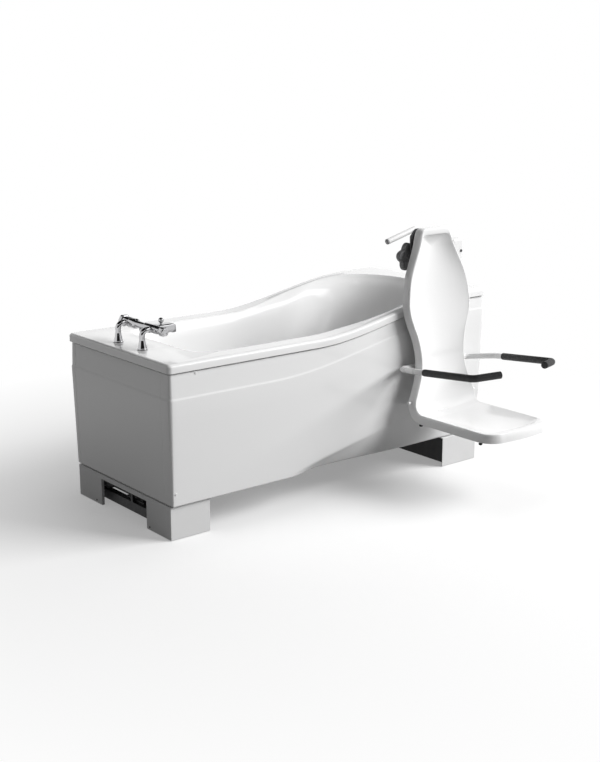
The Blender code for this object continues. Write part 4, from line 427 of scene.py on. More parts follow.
def softened(profile, radius, steps=4):
    """Turned profile of (radius, height) pairs with its sharp corners rounded off."""
    points = [Vector(p) for p in profile]
    soft = [points[0]]
    for before, corner, after in zip(points, points[1:], points[2:]):
        back = before - corner
        ahead = after - corner
        reach = min(radius, 0.45 * back.length, 0.45 * ahead.length)
        if back.length < 1e-6 or ahead.length < 1e-6 or reach < 1e-5 or back.angle(ahead) > radians(165):
            soft.append(corner)
            continue
        start = corner + back.normalized() * reach
        end = corner + ahead.normalized() * reach
        soft += [bend(start, corner, end, t) for t in shares(steps)]
    return [tuple(p) for p in soft + [points[-1]]]


# Solids

def loft(rings, cyclic=False, capped=True):
    """Body through rings of points; a ring of one point is a pole, and the end rings are capped."""
    body = bmesh.new()
    rows = [[body.verts.new(point) for point in ring] for ring in rings]
    pairs = list(zip(rows, rows[1:]))
    if cyclic:
        pairs.append((rows[-1], rows[0]))
    for low, high in pairs:
        count = max(len(low), len(high))
        for i in range(count):
            j = (i + 1) % count
            corners = [low[i % len(low)], low[j % len(low)], high[j % len(high)], high[i % len(high)]]
            corners = list(dict.fromkeys(corners))
            if len(corners) > 2:
                body.faces.new(corners)
    if capped and not cyclic:
        for row in (rows[0], rows[-1]):
            if len(row) > 2:
                body.faces.new(row)
    bmesh.ops.recalc_face_normals(body, faces=body.faces)
    return body


def box(low, high):
    (x0, y0, z0), (x1, y1, z1) = low, high
    return loft([[(x0, y0, z), (x1, y0, z), (x1, y1, z), (x0, y1, z)] for z in (z0, z1)])


def turned(profile, centre, axis="Z", sides=48, cyclic=False, wave=None):
    """Body turned about Z or Y from (radius, height) pairs; a cyclic profile leaves a bore, a wave flutes it.

    The centre holds the two places across the axis.
    """
    rings = []
    for radius, height in profile:
        ring = []
        for i in range(sides if radius >= 1e-7 else 1):
            angle = 2 * pi * i / sides
            reach = wave(angle, radius) if wave and radius >= 1e-7 else radius
            u = centre[0] + reach * cos(angle)
            v = centre[1] + reach * sin(angle)
            ring.append((u, height, v) if axis == "Y" else (u, v, height))
        rings.append(ring)
    return loft(rings, cyclic)


def cylinder(radius, low, high, centre, axis="Z", sides=48):
    return turned([(radius, low), (radius, high)], centre, axis, sides)


def turned_along(profile, point, direction, sides=48, cyclic=False):
    """Body turned about any direction through a point."""
    solid = turned(profile, (0.0, 0.0), "Z", sides, cyclic)
    turn = Vector((0.0, 0.0, 1.0)).rotation_difference(direction).to_matrix().to_4x4()
    bmesh.ops.transform(solid, matrix=Matrix.Translation(point) @ turn, verts=solid.verts)
    return solid


def side_frames(path, end_direction=None):
    """Two directions across a path at each of its points, carried along without twisting."""
    last = len(path) - 1
    tangents = [(path[min(i + 1, last)] - path[max(i - 1, 0)]).normalized() for i in range(last + 1)]
    if end_direction:
        tangents[0] = tangents[-1] = Vector(end_direction)
    across = tangents[0].orthogonal().normalized()
    frames = []
    for tangent in tangents:
        across = (across - tangent * across.dot(tangent)).normalized()
        frames.append((across, tangent.cross(across)))
    return frames


def round_ring(centre, frame_pair, radius, sides):
    across, over = frame_pair
    angles = [2 * pi * i / sides for i in range(sides)]
    return [centre + (across * cos(a) + over * sin(a)) * radius for a in angles]


def mesh_of(body, name):
    """Mesh of a body, which it uses up."""
    mesh = bpy.data.meshes.new(name)
    body.to_mesh(mesh)
    body.free()
    return mesh


def placed(name, data):
    """Object in the scene, with its data."""
    made = bpy.data.objects.new(name, data)
    bpy.context.scene.collection.objects.link(made)
    return made


def add_modifier(made, kind, **settings):
    modifier = made.modifiers.new(kind.lower(), kind)
    for name, value in settings.items():
        setattr(modifier, name, value)


def modified(body, kind, **settings):
    """Body after a modifier; the body that goes in is used up."""
    made = placed("operand", mesh_of(body, "operand"))
    add_modifier(made, kind, **settings)
    graph = bpy.context.evaluated_depsgraph_get()
    result = bmesh.new()
    result.from_mesh(bpy.data.meshes.new_from_object(made.evaluated_get(graph)))
    bpy.data.objects.remove(made)
    return result


def cut(base, *tools):
    """The base less the tools, all of which it uses up."""
    cutter = placed("cutter", mesh_of(joined(*tools), "cutter"))
    result = modified(base, "BOOLEAN", operation="DIFFERENCE", object=cutter)
    bpy.data.objects.remove(cutter)
    return result


def joined(whole, *others):
    """The first body with the others added, which it uses up; they stay separate inside it."""
    for other in others:
        mesh = mesh_of(other, "joined")
        whole.from_mesh(mesh)
        bpy.data.meshes.remove(mesh)
    return whole


# Materials

def feed(tree, node, inputs):
    """Sets a node's inputs; one given as another node, or as its output, is linked to it."""
    for name, value in inputs.items():
        if isinstance(value, bpy.types.Node):
            value = value.outputs[0]
        if isinstance(value, bpy.types.NodeSocket):
            tree.links.new(value, node.inputs[name])
        else:
            node.inputs[name].default_value = value


def add_node(tree, kind, inputs, operation=None):
    node = tree.nodes.new("ShaderNode" + kind)
    if operation:
        node.operation = operation
    feed(tree, node, inputs)
    return node


def new_material(name):
    material = bpy.data.materials.new(name)
    material.use_nodes = True
    return material, material.node_tree


def make_finish(name, colour, roughness, tone, gloss, relief, metallic=0.0, coat=0.0,
                stretch=(1.0, 1.0, 1.0), cells=False):
    """Procedural surface, fixed to the piece: a tone that drifts down, a gloss that varies and a fine relief.

    Its relief is grain, or closed pores where it has cells.
    """
    material, tree = new_material(name)
    place = add_node(tree, "TexCoord", {}).outputs["Object"]
    vector = add_node(tree, "Mapping", {"Vector": place, "Scale": stretch})

    def noise(scale, detail):
        return add_node(tree, "TexNoise", {"Vector": vector, "Scale": scale, "Detail": detail})

    drift = add_node(tree, "ValToRGB", {"Fac": noise(tone[0], 3.0)})
    for element, position, share in zip(drift.color_ramp.elements, (0.30, 0.70), (1 - tone[1], 1.0)):
        element.position = position
        element.color = (*[c * share for c in colour], 1.0)
    span = add_node(tree, "MapRange", {
        "Value": noise(gloss[0], 4.0), "From Min": 0.30, "From Max": 0.70,
        "To Min": roughness - gloss[1], "To Max": roughness + gloss[1]})
    if cells:
        height = add_node(tree, "TexVoronoi", {"Vector": vector, "Scale": relief[0]})
    else:
        height = noise(relief[0], 2.0)
    bump = add_node(tree, "Bump", {"Strength": 1.0, "Distance": relief[1], "Height": height})
    feed(tree, tree.nodes["Principled BSDF"], {
        "Base Color": drift, "Roughness": span, "Normal": bump, "Metallic": metallic, "Coat Weight": coat,
        "Coat Roughness": 0.04})
    return material


# Pieces

def piece(name, body, slot, solid, replaces=(), smooth=35.0, finish=None):
    """Object from a solid in bath coordinates, which rides on a body; its finish is its slot's or its own."""
    bmesh.ops.translate(solid, verts=solid.verts, vec=(0.0, MIDDLE, 0.0))
    made = placed(name, mesh_of(solid, name))
    made.data.shade_smooth()
    made.data.set_sharp_from_angle(angle=radians(smooth))
    made.data.materials.append(finishes[finish or slot])
    if body:
        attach(made, body)
    if replaces:
        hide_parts(*replaces)
    return made


def dress_nodes():
    """Finish of each modelled node by its slot, with the edges of the nodes that stay in view rounded."""
    slots = {row["node"]: row["material_slot"] for row in frame["record"]["subparts"]}
    widths = {name: width for width, names in KEPT_EDGES.items() for name in names}
    for name, node in frame["nodes"].items():
        node.data.materials.clear()
        node.data.materials.append(finishes[slots[name]])
        if name in widths:
            add_modifier(node, "WELD", merge_threshold=0.00005)
            add_modifier(node, "BEVEL", width=widths[name], segments=3, limit_method="ANGLE",
                         angle_limit=radians(40.0), harden_normals=True, use_clamp_overlap=True)


# Tub

def rim_height(x):
    return mix(RIM_FOOT_HEIGHT, RIM_HEAD_HEIGHT, eased(x, RIM_RISE))


def basin_half(x):
    """Half width of the basin's upper edge, which widens towards the head end."""
    return mix(BASIN_FOOT_HALF, BASIN_HEAD_HALF, eased(x, BASIN_WIDENING))


def half_basin_outline(foot_x, head_x, half_width, foot_corner, head_corner):
    """Half of a basin outline, from the middle of the foot end along the seat side to the head end."""
    side_start = foot_x + foot_corner
    side_end = head_x - head_corner[0]
    foot_y = foot_corner - half_width(side_start)
    head_y = head_corner[1] - half_width(side_end)
    points = traced((foot_x, 0.0), [
        (END_STEPS, (foot_x, foot_y)),
        (2 * LEAD_STEPS + ARC_STEPS, (side_start, -half_width(side_start)), (side_start, foot_y))])[:-1]
    points += [(x, -half_width(x)) for x, _y in line((side_start, 0.0), (side_end, 0.0), SIDE_STEPS)]
    return points + traced((side_end, -half_width(side_end)), [
        (HEAD_LEAD_STEPS + ARC_STEPS + HEAD_TAIL_STEPS, (head_x, head_y), (side_end, head_y)),
        (END_STEPS, (head_x, 0.0))])


def half_rim_outline(inset):
    """Half of a rim outline, with its steps in line with those of the basin's upper edge."""
    x1 = RIM_LENGTH / 2 - inset
    y1 = inset - RIM_WIDTH / 2
    radius = max(RIM_CORNER - inset, 0.003)
    x, y = x1 - radius, y1 + radius
    return traced((-x1, 0.0), [
        (END_STEPS, (-x1, BASIN_FOOT_CORNER - BASIN_FOOT_HALF)), (LEAD_STEPS, (-x1, y)),
        (ARC_STEPS, (-x, y1), (-x, y)), (LEAD_STEPS, (BASIN_FOOT_X + BASIN_FOOT_CORNER, y1)),
        (SIDE_STEPS, (BASIN_HEAD_X - BASIN_HEAD_CORNER[0], y1)), (HEAD_LEAD_STEPS, (x, y1)),
        (ARC_STEPS, (x1, y), (x, y)), (HEAD_TAIL_STEPS, (x1, BASIN_HEAD_CORNER[1] - BASIN_HEAD_HALF)),
        (END_STEPS, (x1, 0.0))])


def whole_outline(half):
    return half + [(x, -y) for x, y in reversed(half[1:-1])]


def basin_base(inset=0.0):
    corner = FLOOR_CORNER - 0.8 * inset
    half = FLOOR_HALF - inset
    return half_basin_outline(FLOOR_FOOT_X + inset, FLOOR_HEAD_X - inset, lambda x: half, corner,
                              (1.5 * corner, half - 0.04))


def wall_rings(steps):
    """Rings of the basin wall, on a smooth section from the deck down to the floor fillet."""
    top = half_basin_outline(BASIN_FOOT_X, BASIN_HEAD_X, basin_half, BASIN_FOOT_CORNER, BASIN_HEAD_CORNER)
    columns = []
    for (tx, ty), (bx, by) in zip(whole_outline(top), whole_outline(basin_base())):
        headward = eased(tx, HEAD_WALL_CHANGE)
        height = rim_height(tx) - FLOOR_HEIGHT
        wall = [Vector(side).lerp(Vector(head), headward) for side, head in zip(SIDE_WALL, HEAD_WALL)]
        wall.append(Vector((0.0, FLOOR_FILLET / height)))
        curve = spline(wall, steps, after=(0.0, 0.0))
        columns.append([(mix(bx, tx, s.x), mix(by, ty, s.x), FLOOR_HEIGHT + height * s.y) for s in curve])
    return [list(ring) for ring in zip(*columns)]


def tub_surface():
    """Upper surface of the tub, from the skirt's lower edge over the rim and down to the floor."""
    edge = [(SKIRT_LIP, SKIRT_DEPTH), (0.0, SKIRT_DEPTH - SKIRT_LIP)]
    edge += [(RIM_EDGE + u, RIM_EDGE - v) for u, v in arc(RIM_EDGE, 180.0, 90.0, 8)]
    edge += [(RIM_EDGE + 0.004, 0.0), (RIM_EDGE + 0.012, 0.0)]
    rings = []
    for inset, drop in edge:
        rings.append([(x, y, rim_height(x) - drop) for x, y in whole_outline(half_rim_outline(inset))])
    rings += wall_rings(5)
    for t in shares(8, 1):
        turn = pi / 2 * (1 - t)
        height = FLOOR_HEIGHT + FLOOR_FILLET * (1 - cos(turn))
        base = basin_base(FLOOR_FILLET * (1 - sin(turn)))
        rings.append([(x, y, height) for x, y in whole_outline(base)])
    surface = loft(rings, capped=False)
    surface.verts.ensure_lookup_table()
    floor = surface.faces.new(surface.verts[-len(rings[-1]):])
    bmesh.ops.recalc_face_normals(surface, faces=surface.faces)
    if floor.normal.z < 0:
        bmesh.ops.reverse_faces(surface, faces=surface.faces)
    return surface


def overflow_place():
    """Point and outward direction of the overflow on the basin's foot wall."""
    level = mix(FLOOR_HEIGHT, RIM_FOOT_HEIGHT, OVERFLOW_LEVEL)
    (out_low, up_low), (out_high, up_high) = SIDE_WALL[3], SIDE_WALL[2]
    out = mix(out_low, out_high, (OVERFLOW_LEVEL - up_low) / (up_high - up_low))
    run = (out_high - out_low) * (FLOOR_FOOT_X - BASIN_FOOT_X)
    rise = (up_high - up_low) * (RIM_FOOT_HEIGHT - FLOOR_HEIGHT)
    return Vector((mix(FLOOR_FOOT_X, BASIN_FOOT_X, out), 0.0, level)), Vector((rise, 0.0, run)).normalized()


def make_tub():
    """Tub with the holes of the mast, the waste, the overflow and the tap; each tool passes the wall."""
    half = MAST_OUTER / 2 + MAST_CLEARANCE
    bore = WASTE_BORE_RADIUS + GAP
    tools = [box((MAST_X - half, MAST_Y - half, 0.70), (MAST_X + half, MAST_Y + half, 0.90)),
             cylinder(WASTE_BODY_RADIUS + GAP, 0.25, 0.35, (WASTE_X, 0.0)),
             turned_along([(bore, -0.05), (bore, 0.05)], *overflow_place())]
    for y in (-TAP_SPACING / 2, TAP_SPACING / 2):
        tools.append(cylinder(TAP_SHANK_RADIUS + GAP, 0.60, 0.75, (TAP_X, y)))
    shell = modified(tub_surface(), "SOLIDIFY", thickness=SHELL_WALL, offset=-1.0, use_even_offset=True)
    piece("tub_moulding", "bath", "gelcoat", cut(shell, *tools), ["tub"], 30.0)


# Panels

def crease_height(x):
    along = min(max((x - CREASE_START) / (RIM_LENGTH / 2 - CREASE_START), 0.0), 1.0)
    return PANEL_BOTTOM + max(CREASE_RISE * (1 - (1 - along) ** 1.35), 0.012)


def skin_levels(x):
    """Height and inset of the panel's outer face, from its lower edge to its tuck behind the skirt."""
    skirt = rim_height(x) - SKIRT_DEPTH
    band = mix(*BAND_HEIGHTS, eased(x, BAND_RISE))
    crease = crease_height(x)
    depth = UNDERCUT * eased(x, UNDERCUT_GROWTH) * (1 - 0.5 * eased(x, UNDERCUT_EASING))
    round_off = min(CREASE_ROUND, 0.45 * (crease - PANEL_BOTTOM))
    edge = min(PANEL_EDGE, 0.45 * (crease - PANEL_BOTTOM))

    def face(z):
        return mix(FOOT_INSET, FACE_INSET, (z - PANEL_BOTTOM) / (band - PANEL_BOTTOM))

    def hollow(z):
        share = min(max((crease - z) / (crease - PANEL_BOTTOM), 0.0), 1.0)
        return face(z) + depth * share ** 0.9

    levels = []
    for u, v in arc(edge, -80.0, 0.0, 5):
        height = PANEL_BOTTOM + edge + v
        levels.append((height, hollow(height) + edge - u))
    for t in shares(6, 1):
        height = mix(PANEL_BOTTOM + edge, crease - round_off, t)
        levels.append((height, hollow(height)))
    start = crease + round_off
    stop = band - BAND_RUN
    bent = [Vector(level) for level in (levels[-1], (crease, face(crease)), (start, face(start)))]
    levels += [tuple(bend(*bent, t)) for t in shares(5, 1)]
    levels += [(mix(start, stop, t), face(mix(start, stop, t))) for t in shares(5, 1)]
    step = band + BAND_STEP
    levels += [(mix(stop, step, t), mix(face(stop), BAND_INSETS[0], smoothstep(t))) for t in shares(8, 1)]
    high = skirt - SHADOW_GAP - BAND_ROUND
    levels += [(mix(step, high, t), mix(*BAND_INSETS, t)) for t in shares(4, 1)]
    levels += [(high + v, BAND_INSETS[1] + BAND_ROUND - u) for u, v in arc(BAND_ROUND, 22.5, 90.0, 3)]
    return levels + [(skirt - SHADOW_GAP, SHADOW_INSET), (skirt + PANEL_TUCK, SHADOW_INSET)]


def skin_point(x, y, height, normal, corner, out):
    """Point of a panel's skin; a corner whose round would be used up moves inwards as a whole."""
    short = max(PANEL_CORNER_LEAST - PANEL_CORNER - out, 0.0) if corner else 0.0
    place = Vector((x, y)) + Vector(normal) * (out + short) - Vector(corner or (0.0, 0.0)) * short
    return (place.x, place.y, height)


def panel_section(x, y, normal, corner=None):
    """Closed section of a panel at a point of its band line."""
    levels = skin_levels(x)
    outer = [skin_point(x, y, height, normal, corner, BAND_INSET - inset) for height, inset in levels]
    inner = [skin_point(x, y, height, normal, corner, BAND_INSET - inset - PANEL_WALL)
             for height, inset in levels]
    return outer + inner[::-1]


def corner_stations(x, y, towards_x, towards_y):
    """Stations round a panel corner, from the end face to the side face."""
    stations = []
    for t in shares(8):
        normal = (towards_x * cos(pi / 2 * t), towards_y * sin(pi / 2 * t))
        place = (x - (towards_x - normal[0]) * PANEL_CORNER, y - (towards_y - normal[1]) * PANEL_CORNER)
        stations.append((*place, normal, (towards_x, towards_y)))
    return stations


def side_panel(side, seam):
    """Panel of one long side, which wraps round both corners as far as the seam."""
    x1 = RIM_LENGTH / 2 - BAND_INSET
    y1 = side * (RIM_WIDTH / 2 - BAND_INSET)
    reach = x1 - PANEL_CORNER
    stations = [(-x1, seam, (-1.0, 0.0)), (-x1, seam + side * 0.002, (-1.0, 0.0))]
    stations += corner_stations(-x1, y1, -1.0, side)
    stations += [(mix(-reach, reach, t), y1, (0.0, side)) for t in shares(PANEL_STEPS, 1)[:-1]]
    stations += corner_stations(x1, y1, 1.0, side)[::-1]
    stations += [(x1, seam + side * 0.002, (1.0, 0.0)), (x1, seam, (1.0, 0.0))]
    return loft([panel_section(*station) for station in stations])


def end_panel(side):
    """Flat panel of one end, between the seams, with its upright edges eased."""
    x1 = side * (RIM_LENGTH / 2 - BAND_INSET)
    low = FRONT_SEAM_Y + SEAM_GAP
    high = REAR_SEAM_Y - SEAM_GAP
    edges = ((low, SEAM_EASE), (low + SEAM_EASE, 0.0), (high - SEAM_EASE, 0.0), (high, SEAM_EASE))
    return loft([panel_section(x1 - side * drop, y, (side, 0.0)) for y, drop in edges])


def make_panels():
    panels = {"front": side_panel(-1.0, FRONT_SEAM_Y), "rear": side_panel(1.0, REAR_SEAM_Y),
              "foot": end_panel(-1.0), "head": end_panel(1.0)}
    for name, solid in panels.items():
        piece(name + "_panel_moulding", "bath", "panel_white", solid, [name + "_panel"], 25.0)


# Waste, overflow and hose

def hose_route():
    """Middle line of the waste hose, from the trap's outlet to the socket in the foot plinth."""
    start = Vector((WASTE_X - TRAP_RADIUS - TRAP_STUB - 2 * GAP, 0.0, (TRAP_TOP + TRAP_BOTTOM) / 2))
    end = Vector(SOCKET_MOUTH)
    lead_in = start + Vector((-0.020, 0.0, 0.0))
    lead_out = end + Vector((0.016, 0.0, 0.0))
    return spline([start, lead_in, *HOSE_BENDS, lead_out, end], 30)


def resampled(path, count):
    """The path at equal steps of length."""
    lengths = [0.0]
    for a, b in zip(path, path[1:]):
        lengths.append(lengths[-1] + (b - a).length)
    points = []
    k = 0
    for t in shares(count):
        target = lengths[-1] * t
        while k < len(path) - 2 and lengths[k + 1] < target:
            k += 1
        share = (target - lengths[k]) / (lengths[k + 1] - lengths[k])
        points.append(path[k].lerp(path[k + 1], min(share, 1.0)))
    return points


def make_hose():
    steps = HOSE_RIB_STEPS * HOSE_RIBS
    path = resampled(hose_route(), steps)
    frames = side_frames(path, (-1.0, 0.0, 0.0))
    straight = 2 * HOSE_RIB_STEPS
    rings = []
    for i, (point, pair) in enumerate(zip(path, frames)):
        rib = 0.5 - 0.5 * cos(2 * pi * i / HOSE_RIB_STEPS)
        if i < straight or i > steps - straight:
            rib = 0.0
        radius = mix(HOSE_VALLEY_RADIUS, HOSE_RIB_RADIUS, rib ** 0.6)
        rings.append(round_ring(point, pair, radius, 28))
    for i in range(steps, -1, -HOSE_RIB_STEPS):
        rings.append(round_ring(path[i], frames[i], HOSE_BORE_RADIUS, 28))
    hose = piece("waste_hose_ribbed", None, "grey_plastic", loft(rings, cyclic=True), ["waste_hose"], 60.0)
    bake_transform(hose)


def make_waste():
    top = FLOOR_HEIGHT + GAP
    body_low = TRAP_TOP + GAP
    bore = WASTE_BORE_RADIUS
    rim = WASTE_FLANGE_RADIUS
    fitting = [(bore, body_low), (WASTE_BODY_RADIUS, body_low), (WASTE_BODY_RADIUS, top), (rim, top),
               (rim, top + 0.4 * WASTE_FLANGE), (rim - 0.004, top + WASTE_FLANGE), (bore, top + WASTE_FLANGE)]
    flange = turned(softened(fitting, 0.0008), (WASTE_X, 0.0), "Z", 64, cyclic=True)
    piece("waste_flange", "bath", "chrome", flange, ["waste_fitting"])

    reach = OVERFLOW_RADIUS
    dome = [(0.0, 0.010), (reach * 0.6, 0.0095), (reach, 0.005), (reach, GAP), (bore, GAP), (bore, -0.030),
            (bore - 0.003, -0.030), (bore - 0.003, 0.004), (0.0, 0.004)]
    cover = turned_along(softened(dome, 0.002), *overflow_place(), 64, cyclic=True)
    piece("overflow_cover", "bath", "chrome", cover, ["overflow_fitting"])

    low = top + WASTE_FLANGE + GAP
    guide = bore - 2 * GAP
    plug = [(0.0, low - 0.014), (guide, low - 0.014), (guide, low), (rim - 0.008, low),
            (rim - 0.008, low + 0.003), (0.6 * rim, low + 0.006), (0.0, low + 0.007)]
    cap = turned(softened(plug, 0.0015), (WASTE_X, 0.0), "Z", 64)
    piece("waste_plug_cap", "waste_plug_body", "chrome", cap, ["waste_plug"])


# Tap

def make_tap_legs():
    deck = RIM_FOOT_HEIGHT + GAP
    flare = TAP_LEG_FLARE
    cone = [(flare - 0.0006, 0.0), (flare, 0.0006), (flare, 0.0026), (flare - 0.0015, 0.0040)]
    cone += [(mix(flare - 0.0015, TAP_LEG_NECK, t ** 0.8), mix(0.0040, 0.040, t)) for t in shares(8, 1)]
    nut = [(TAP_LEG_NECK, 0.0), (TAP_LEG_NECK + 0.0022, 0.0008), (TAP_LEG_NECK + 0.0026, 0.0040)]
    for end, y, body_radius in (("front", -TAP_SPACING / 2, TAP_BODY_RADIUS),
                                ("rear", TAP_SPACING / 2, TAP_REAR_RADIUS)):
        face = TAP_BODY_X - body_radius - GAP - 0.004
        pipe = rounded([(TAP_X, y, deck + 0.042), (TAP_X, y, TAP_BODY_Z), (face, y, TAP_BODY_Z)],
                       [0.0, 0.022, 0.0], 14)
        path = [Vector((TAP_X, y, deck + height)) for _radius, height in cone] + pipe
        path += [Vector((face + along, y, TAP_BODY_Z)) for _radius, along in nut]
        radii = [radius for radius, _height in cone] + [TAP_LEG_NECK] * len(pipe)
        radii += [radius for radius, _along in nut]
        leg = loft([round_ring(p, f, r, 40) for p, f, r in zip(path, side_frames(path), radii)])
        shank = cylinder(TAP_SHANK_RADIUS, deck - TAP_SHANK_LENGTH, deck + 0.0004, (TAP_X, y), sides=32)
        piece("tap_leg_" + end + "_bell", "bath", "chrome", joined(leg, shank), ["tap_leg_" + end], 30.0)


def make_tap_body():
    r = TAP_BODY_RADIUS
    y0 = TAP_BODY_FRONT
    y1 = TAP_BODY_REAR
    rear = TAP_REAR_RADIUS
    barrel = [(0.0, y0), (r - 0.004, y0), (r - 0.002, y0 + 0.002), (r - 0.002, y0 + 0.022), (r, y0 + 0.024),
              (r, -0.040), (r - 0.003, -0.036), (r - 0.003, 0.026), (rear, 0.034), (rear, 0.070),
              (rear - 0.0012, 0.072), (rear - 0.0012, 0.075), (rear, 0.077), (rear, y1 - 0.004),
              (rear - 0.004, y1), (0.0, y1)]
    body = turned(softened(barrel, 0.0012), TAP_BODY, "Y", 64)
    low = TAP_BODY_Z - r
    outlet = [(0.0, low - 0.012), (0.0075, low - 0.012), (0.009, low - 0.0105), (0.009, low - 0.004),
              (0.0105, low - 0.003), (0.0105, low + 0.004)]
    boss = turned(softened(outlet, 0.0008), (TAP_BODY_X, -0.005), "Z", 40)
    piece("tap_barrel", "bath", "chrome", joined(body, boss), ["tap_body"], 30.0)


def make_tap_spout():
    base = TAP_BODY_X + 0.4 * TAP_BODY_RADIUS
    reach = TAP_BODY_RADIUS * 0.6 + SPOUT_REACH
    spans = [(0.0, 0.50, -0.50, 1.0), (0.55, 0.50, -0.50, 1.0), (0.85, 0.48, -0.58, 0.97),
             (1.0, 0.34, -0.62, 0.90)]
    sections = []
    for along, top, bottom, width in spline(spans, 8):
        y0, y1 = (SPOUT_Y + side * SPOUT_WIDTH / 2 * width for side in (-1.0, 1.0))
        z0, z1 = (TAP_BODY_Z + share * SPOUT_HEIGHT for share in (bottom, top))
        outline = rounded([(y0, z0), (y1, z0), (y1, z1), (y0, z1)], [SPOUT_CORNER] * 4, 8)
        sections.append([(base + reach * along, y, z) for y, z in outline])
    tip = [Vector(p) for p in sections[-1]]
    middle = sum(tip, Vector((0.0, 0.0, 0.0))) / len(tip)
    for shrink, ahead in ((0.985, 0.0012), (0.95, 0.0020), (0.90, 0.0023)):
        sections.append([middle + (p - middle) * shrink + Vector((ahead, 0.0, 0.0)) for p in tip])
    top = TAP_BODY_Z + SPOUT_HEIGHT / 2
    stem_low = top - KNOB_STEM_DEPTH
    knob = (TAP_BODY_X + KNOB_OFFSET, SPOUT_Y)
    saddle = cylinder(TAP_BODY_RADIUS + GAP, SPOUT_Y - 0.05, SPOUT_Y + 0.05, TAP_BODY, "Y", 64)
    stem = cylinder(KNOB_STEM_RADIUS + GAP, stem_low - 0.002, top + 0.01, knob, sides=32)
    mouth = cylinder(0.010, TAP_BODY_Z - 0.04, TAP_BODY_Z - 0.008, (base + SPOUT_REACH - 0.006, SPOUT_Y),
                     sides=32)
    piece("tap_spout_block", "bath", "chrome", cut(loft(sections), saddle, stem, mouth), ["tap_spout"], 30.0)

    r = KNOB_STEM_RADIUS
    collar = top + 0.0012
    ball_z = top + 0.006 + 0.8 * KNOB_RADIUS
    profile = [(0.0, stem_low), (r, stem_low), (r, top), (r + 0.0025, top + GAP), (r + 0.0025, collar),
               (r, collar + 0.0008), (r, top + 0.006)]
    profile += [(u, ball_z + v) for u, v in arc(KNOB_RADIUS, -60.0, 86.0, 16)]
    profile.append((0.0, ball_z + KNOB_RADIUS))
    piece("diverter_ball", "diverter_body", "chrome", turned(profile, knob, "Z", 40), ["diverter_knob"], 40.0)


def make_tap_handles():
    def flutes(angle, radius):
        return radius * (1.0 + 0.045 * cos(6 * angle) * smoothstep((radius - 0.010) / 0.006))

    h = HANDLE_RADIUS
    start = TAP_BODY_FRONT - GAP
    end = start - HANDLE_LENGTH
    flow = [(0.0, start), (0.6 * h, start), (0.6 * h, start - 0.003), (h, start - 0.005), (h, end + 0.005),
            (0.8 * h, end + 0.001), (0.45 * h, end), (0.42 * h, end + 0.0010), (0.0, end + 0.0014)]
    h = REAR_HANDLE_RADIUS
    start = TAP_BODY_REAR + GAP
    end = start + REAR_HANDLE_LENGTH
    temperature = [(0.0, start), (0.7 * h, start), (h, start + 0.003), (h, end - 0.008), (0.7 * h, end),
                   (0.42 * h, end), (0.40 * h, end - 0.0010), (0.0, end - 0.0014)]
    for name, knob in (("flow", flow), ("temperature", temperature)):
        solid = turned(softened(knob, 0.002), TAP_BODY, "Y", 96, wave=flutes)
        piece(name + "_handle_knob", name + "_body", "chrome", solid, [name + "_handle"], 40.0)


# Seat shell

def crest_point(distance):
    """Point of the shell's crest line at a distance from its top, with the direction to its rear."""
    if distance <= FOLD_START:
        return BACK_TOP + BACK_DOWN * distance, BACK_REAR
    centre = BACK_TOP + BACK_DOWN * FOLD_START - BACK_REAR * FOLD_RADIUS
    angle = (min(distance, FOLD_END) - FOLD_START) / FOLD_RADIUS
    out = BACK_REAR * cos(angle) + BACK_DOWN * sin(angle)
    return centre + out * FOLD_RADIUS + SEAT_AHEAD * max(distance - FOLD_END, 0.0), out


def crest_distance(y=None, z=None):
    """Distance from the top at which the crest line reaches a depth or a height."""
    low, high = 0.0, 1.6
    for _ in range(50):
        middle = (low + high) / 2
        point, _rear = crest_point(middle)
        passed = point.y < y if y is not None else point.z < z
        low, high = (low, middle) if passed else (middle, high)
    return (low + high) / 2


def flange_depth(distance):
    """Depth of the flange behind the crest line, shallower down the back."""
    lead = FLANGE_NARROWING[1]
    seat = eased(distance, (FOLD_START - lead, FOLD_END - FOLD_START + lead))
    return mix(FLANGE_DEPTH, BACK_FLANGE_DEPTH, eased(distance, FLANGE_NARROWING) * (1 - seat))


def dish_depth(distance, waist, shoulder, hips):
    """Depth of the dished middle behind the crest line."""
    if distance < waist:
        return mix(BACK_DISH_TOP, BACK_DISH_WAIST, eased(distance, (shoulder, waist - shoulder)))
    return mix(BACK_DISH_WAIST, SEAT_DISH, eased(distance, (waist, hips - waist)))


def fold_extra(distance, depth):
    """How much deeper than the bend the dish goes, so that its back and its seat meet at a crisp fold."""
    half_turn = (FOLD_END - FOLD_START) / FOLD_RADIUS / 2
    angle = max(half_turn - abs((distance - FOLD_START) / FOLD_RADIUS - half_turn), 0.0)
    reach = FOLD_RADIUS + depth
    return FOLD_SHARE * (reach / cos(angle) - reach)


def shell_outline():
    """Half outline of the shell, unrolled along the crest line: (half width, distance from the top)."""
    back = [(half, crest_distance(z=height) if height < SHELL_TOP else 0.0) for half, height in BACK_OUTLINE]
    front = crest_distance(y=SEAT_FRONT_Y)
    corner_start = front - FRONT_BOW - FRONT_CORNER
    flat = SEAT_HALF - FRONT_CORNER
    outline = traced((SEAT_HALF, FOLD_START), [
        (14, (SEAT_HALF, FOLD_END)), (12, (SEAT_HALF, corner_start)),
        (14, (flat, corner_start + FRONT_CORNER), (flat, corner_start))])[:-1]
    outline += [(flat * (1 - t), front - FRONT_BOW * (1 - t) ** 2) for t in shares(8)]
    return spline(back, 6) + [Vector(place) for place in outline]


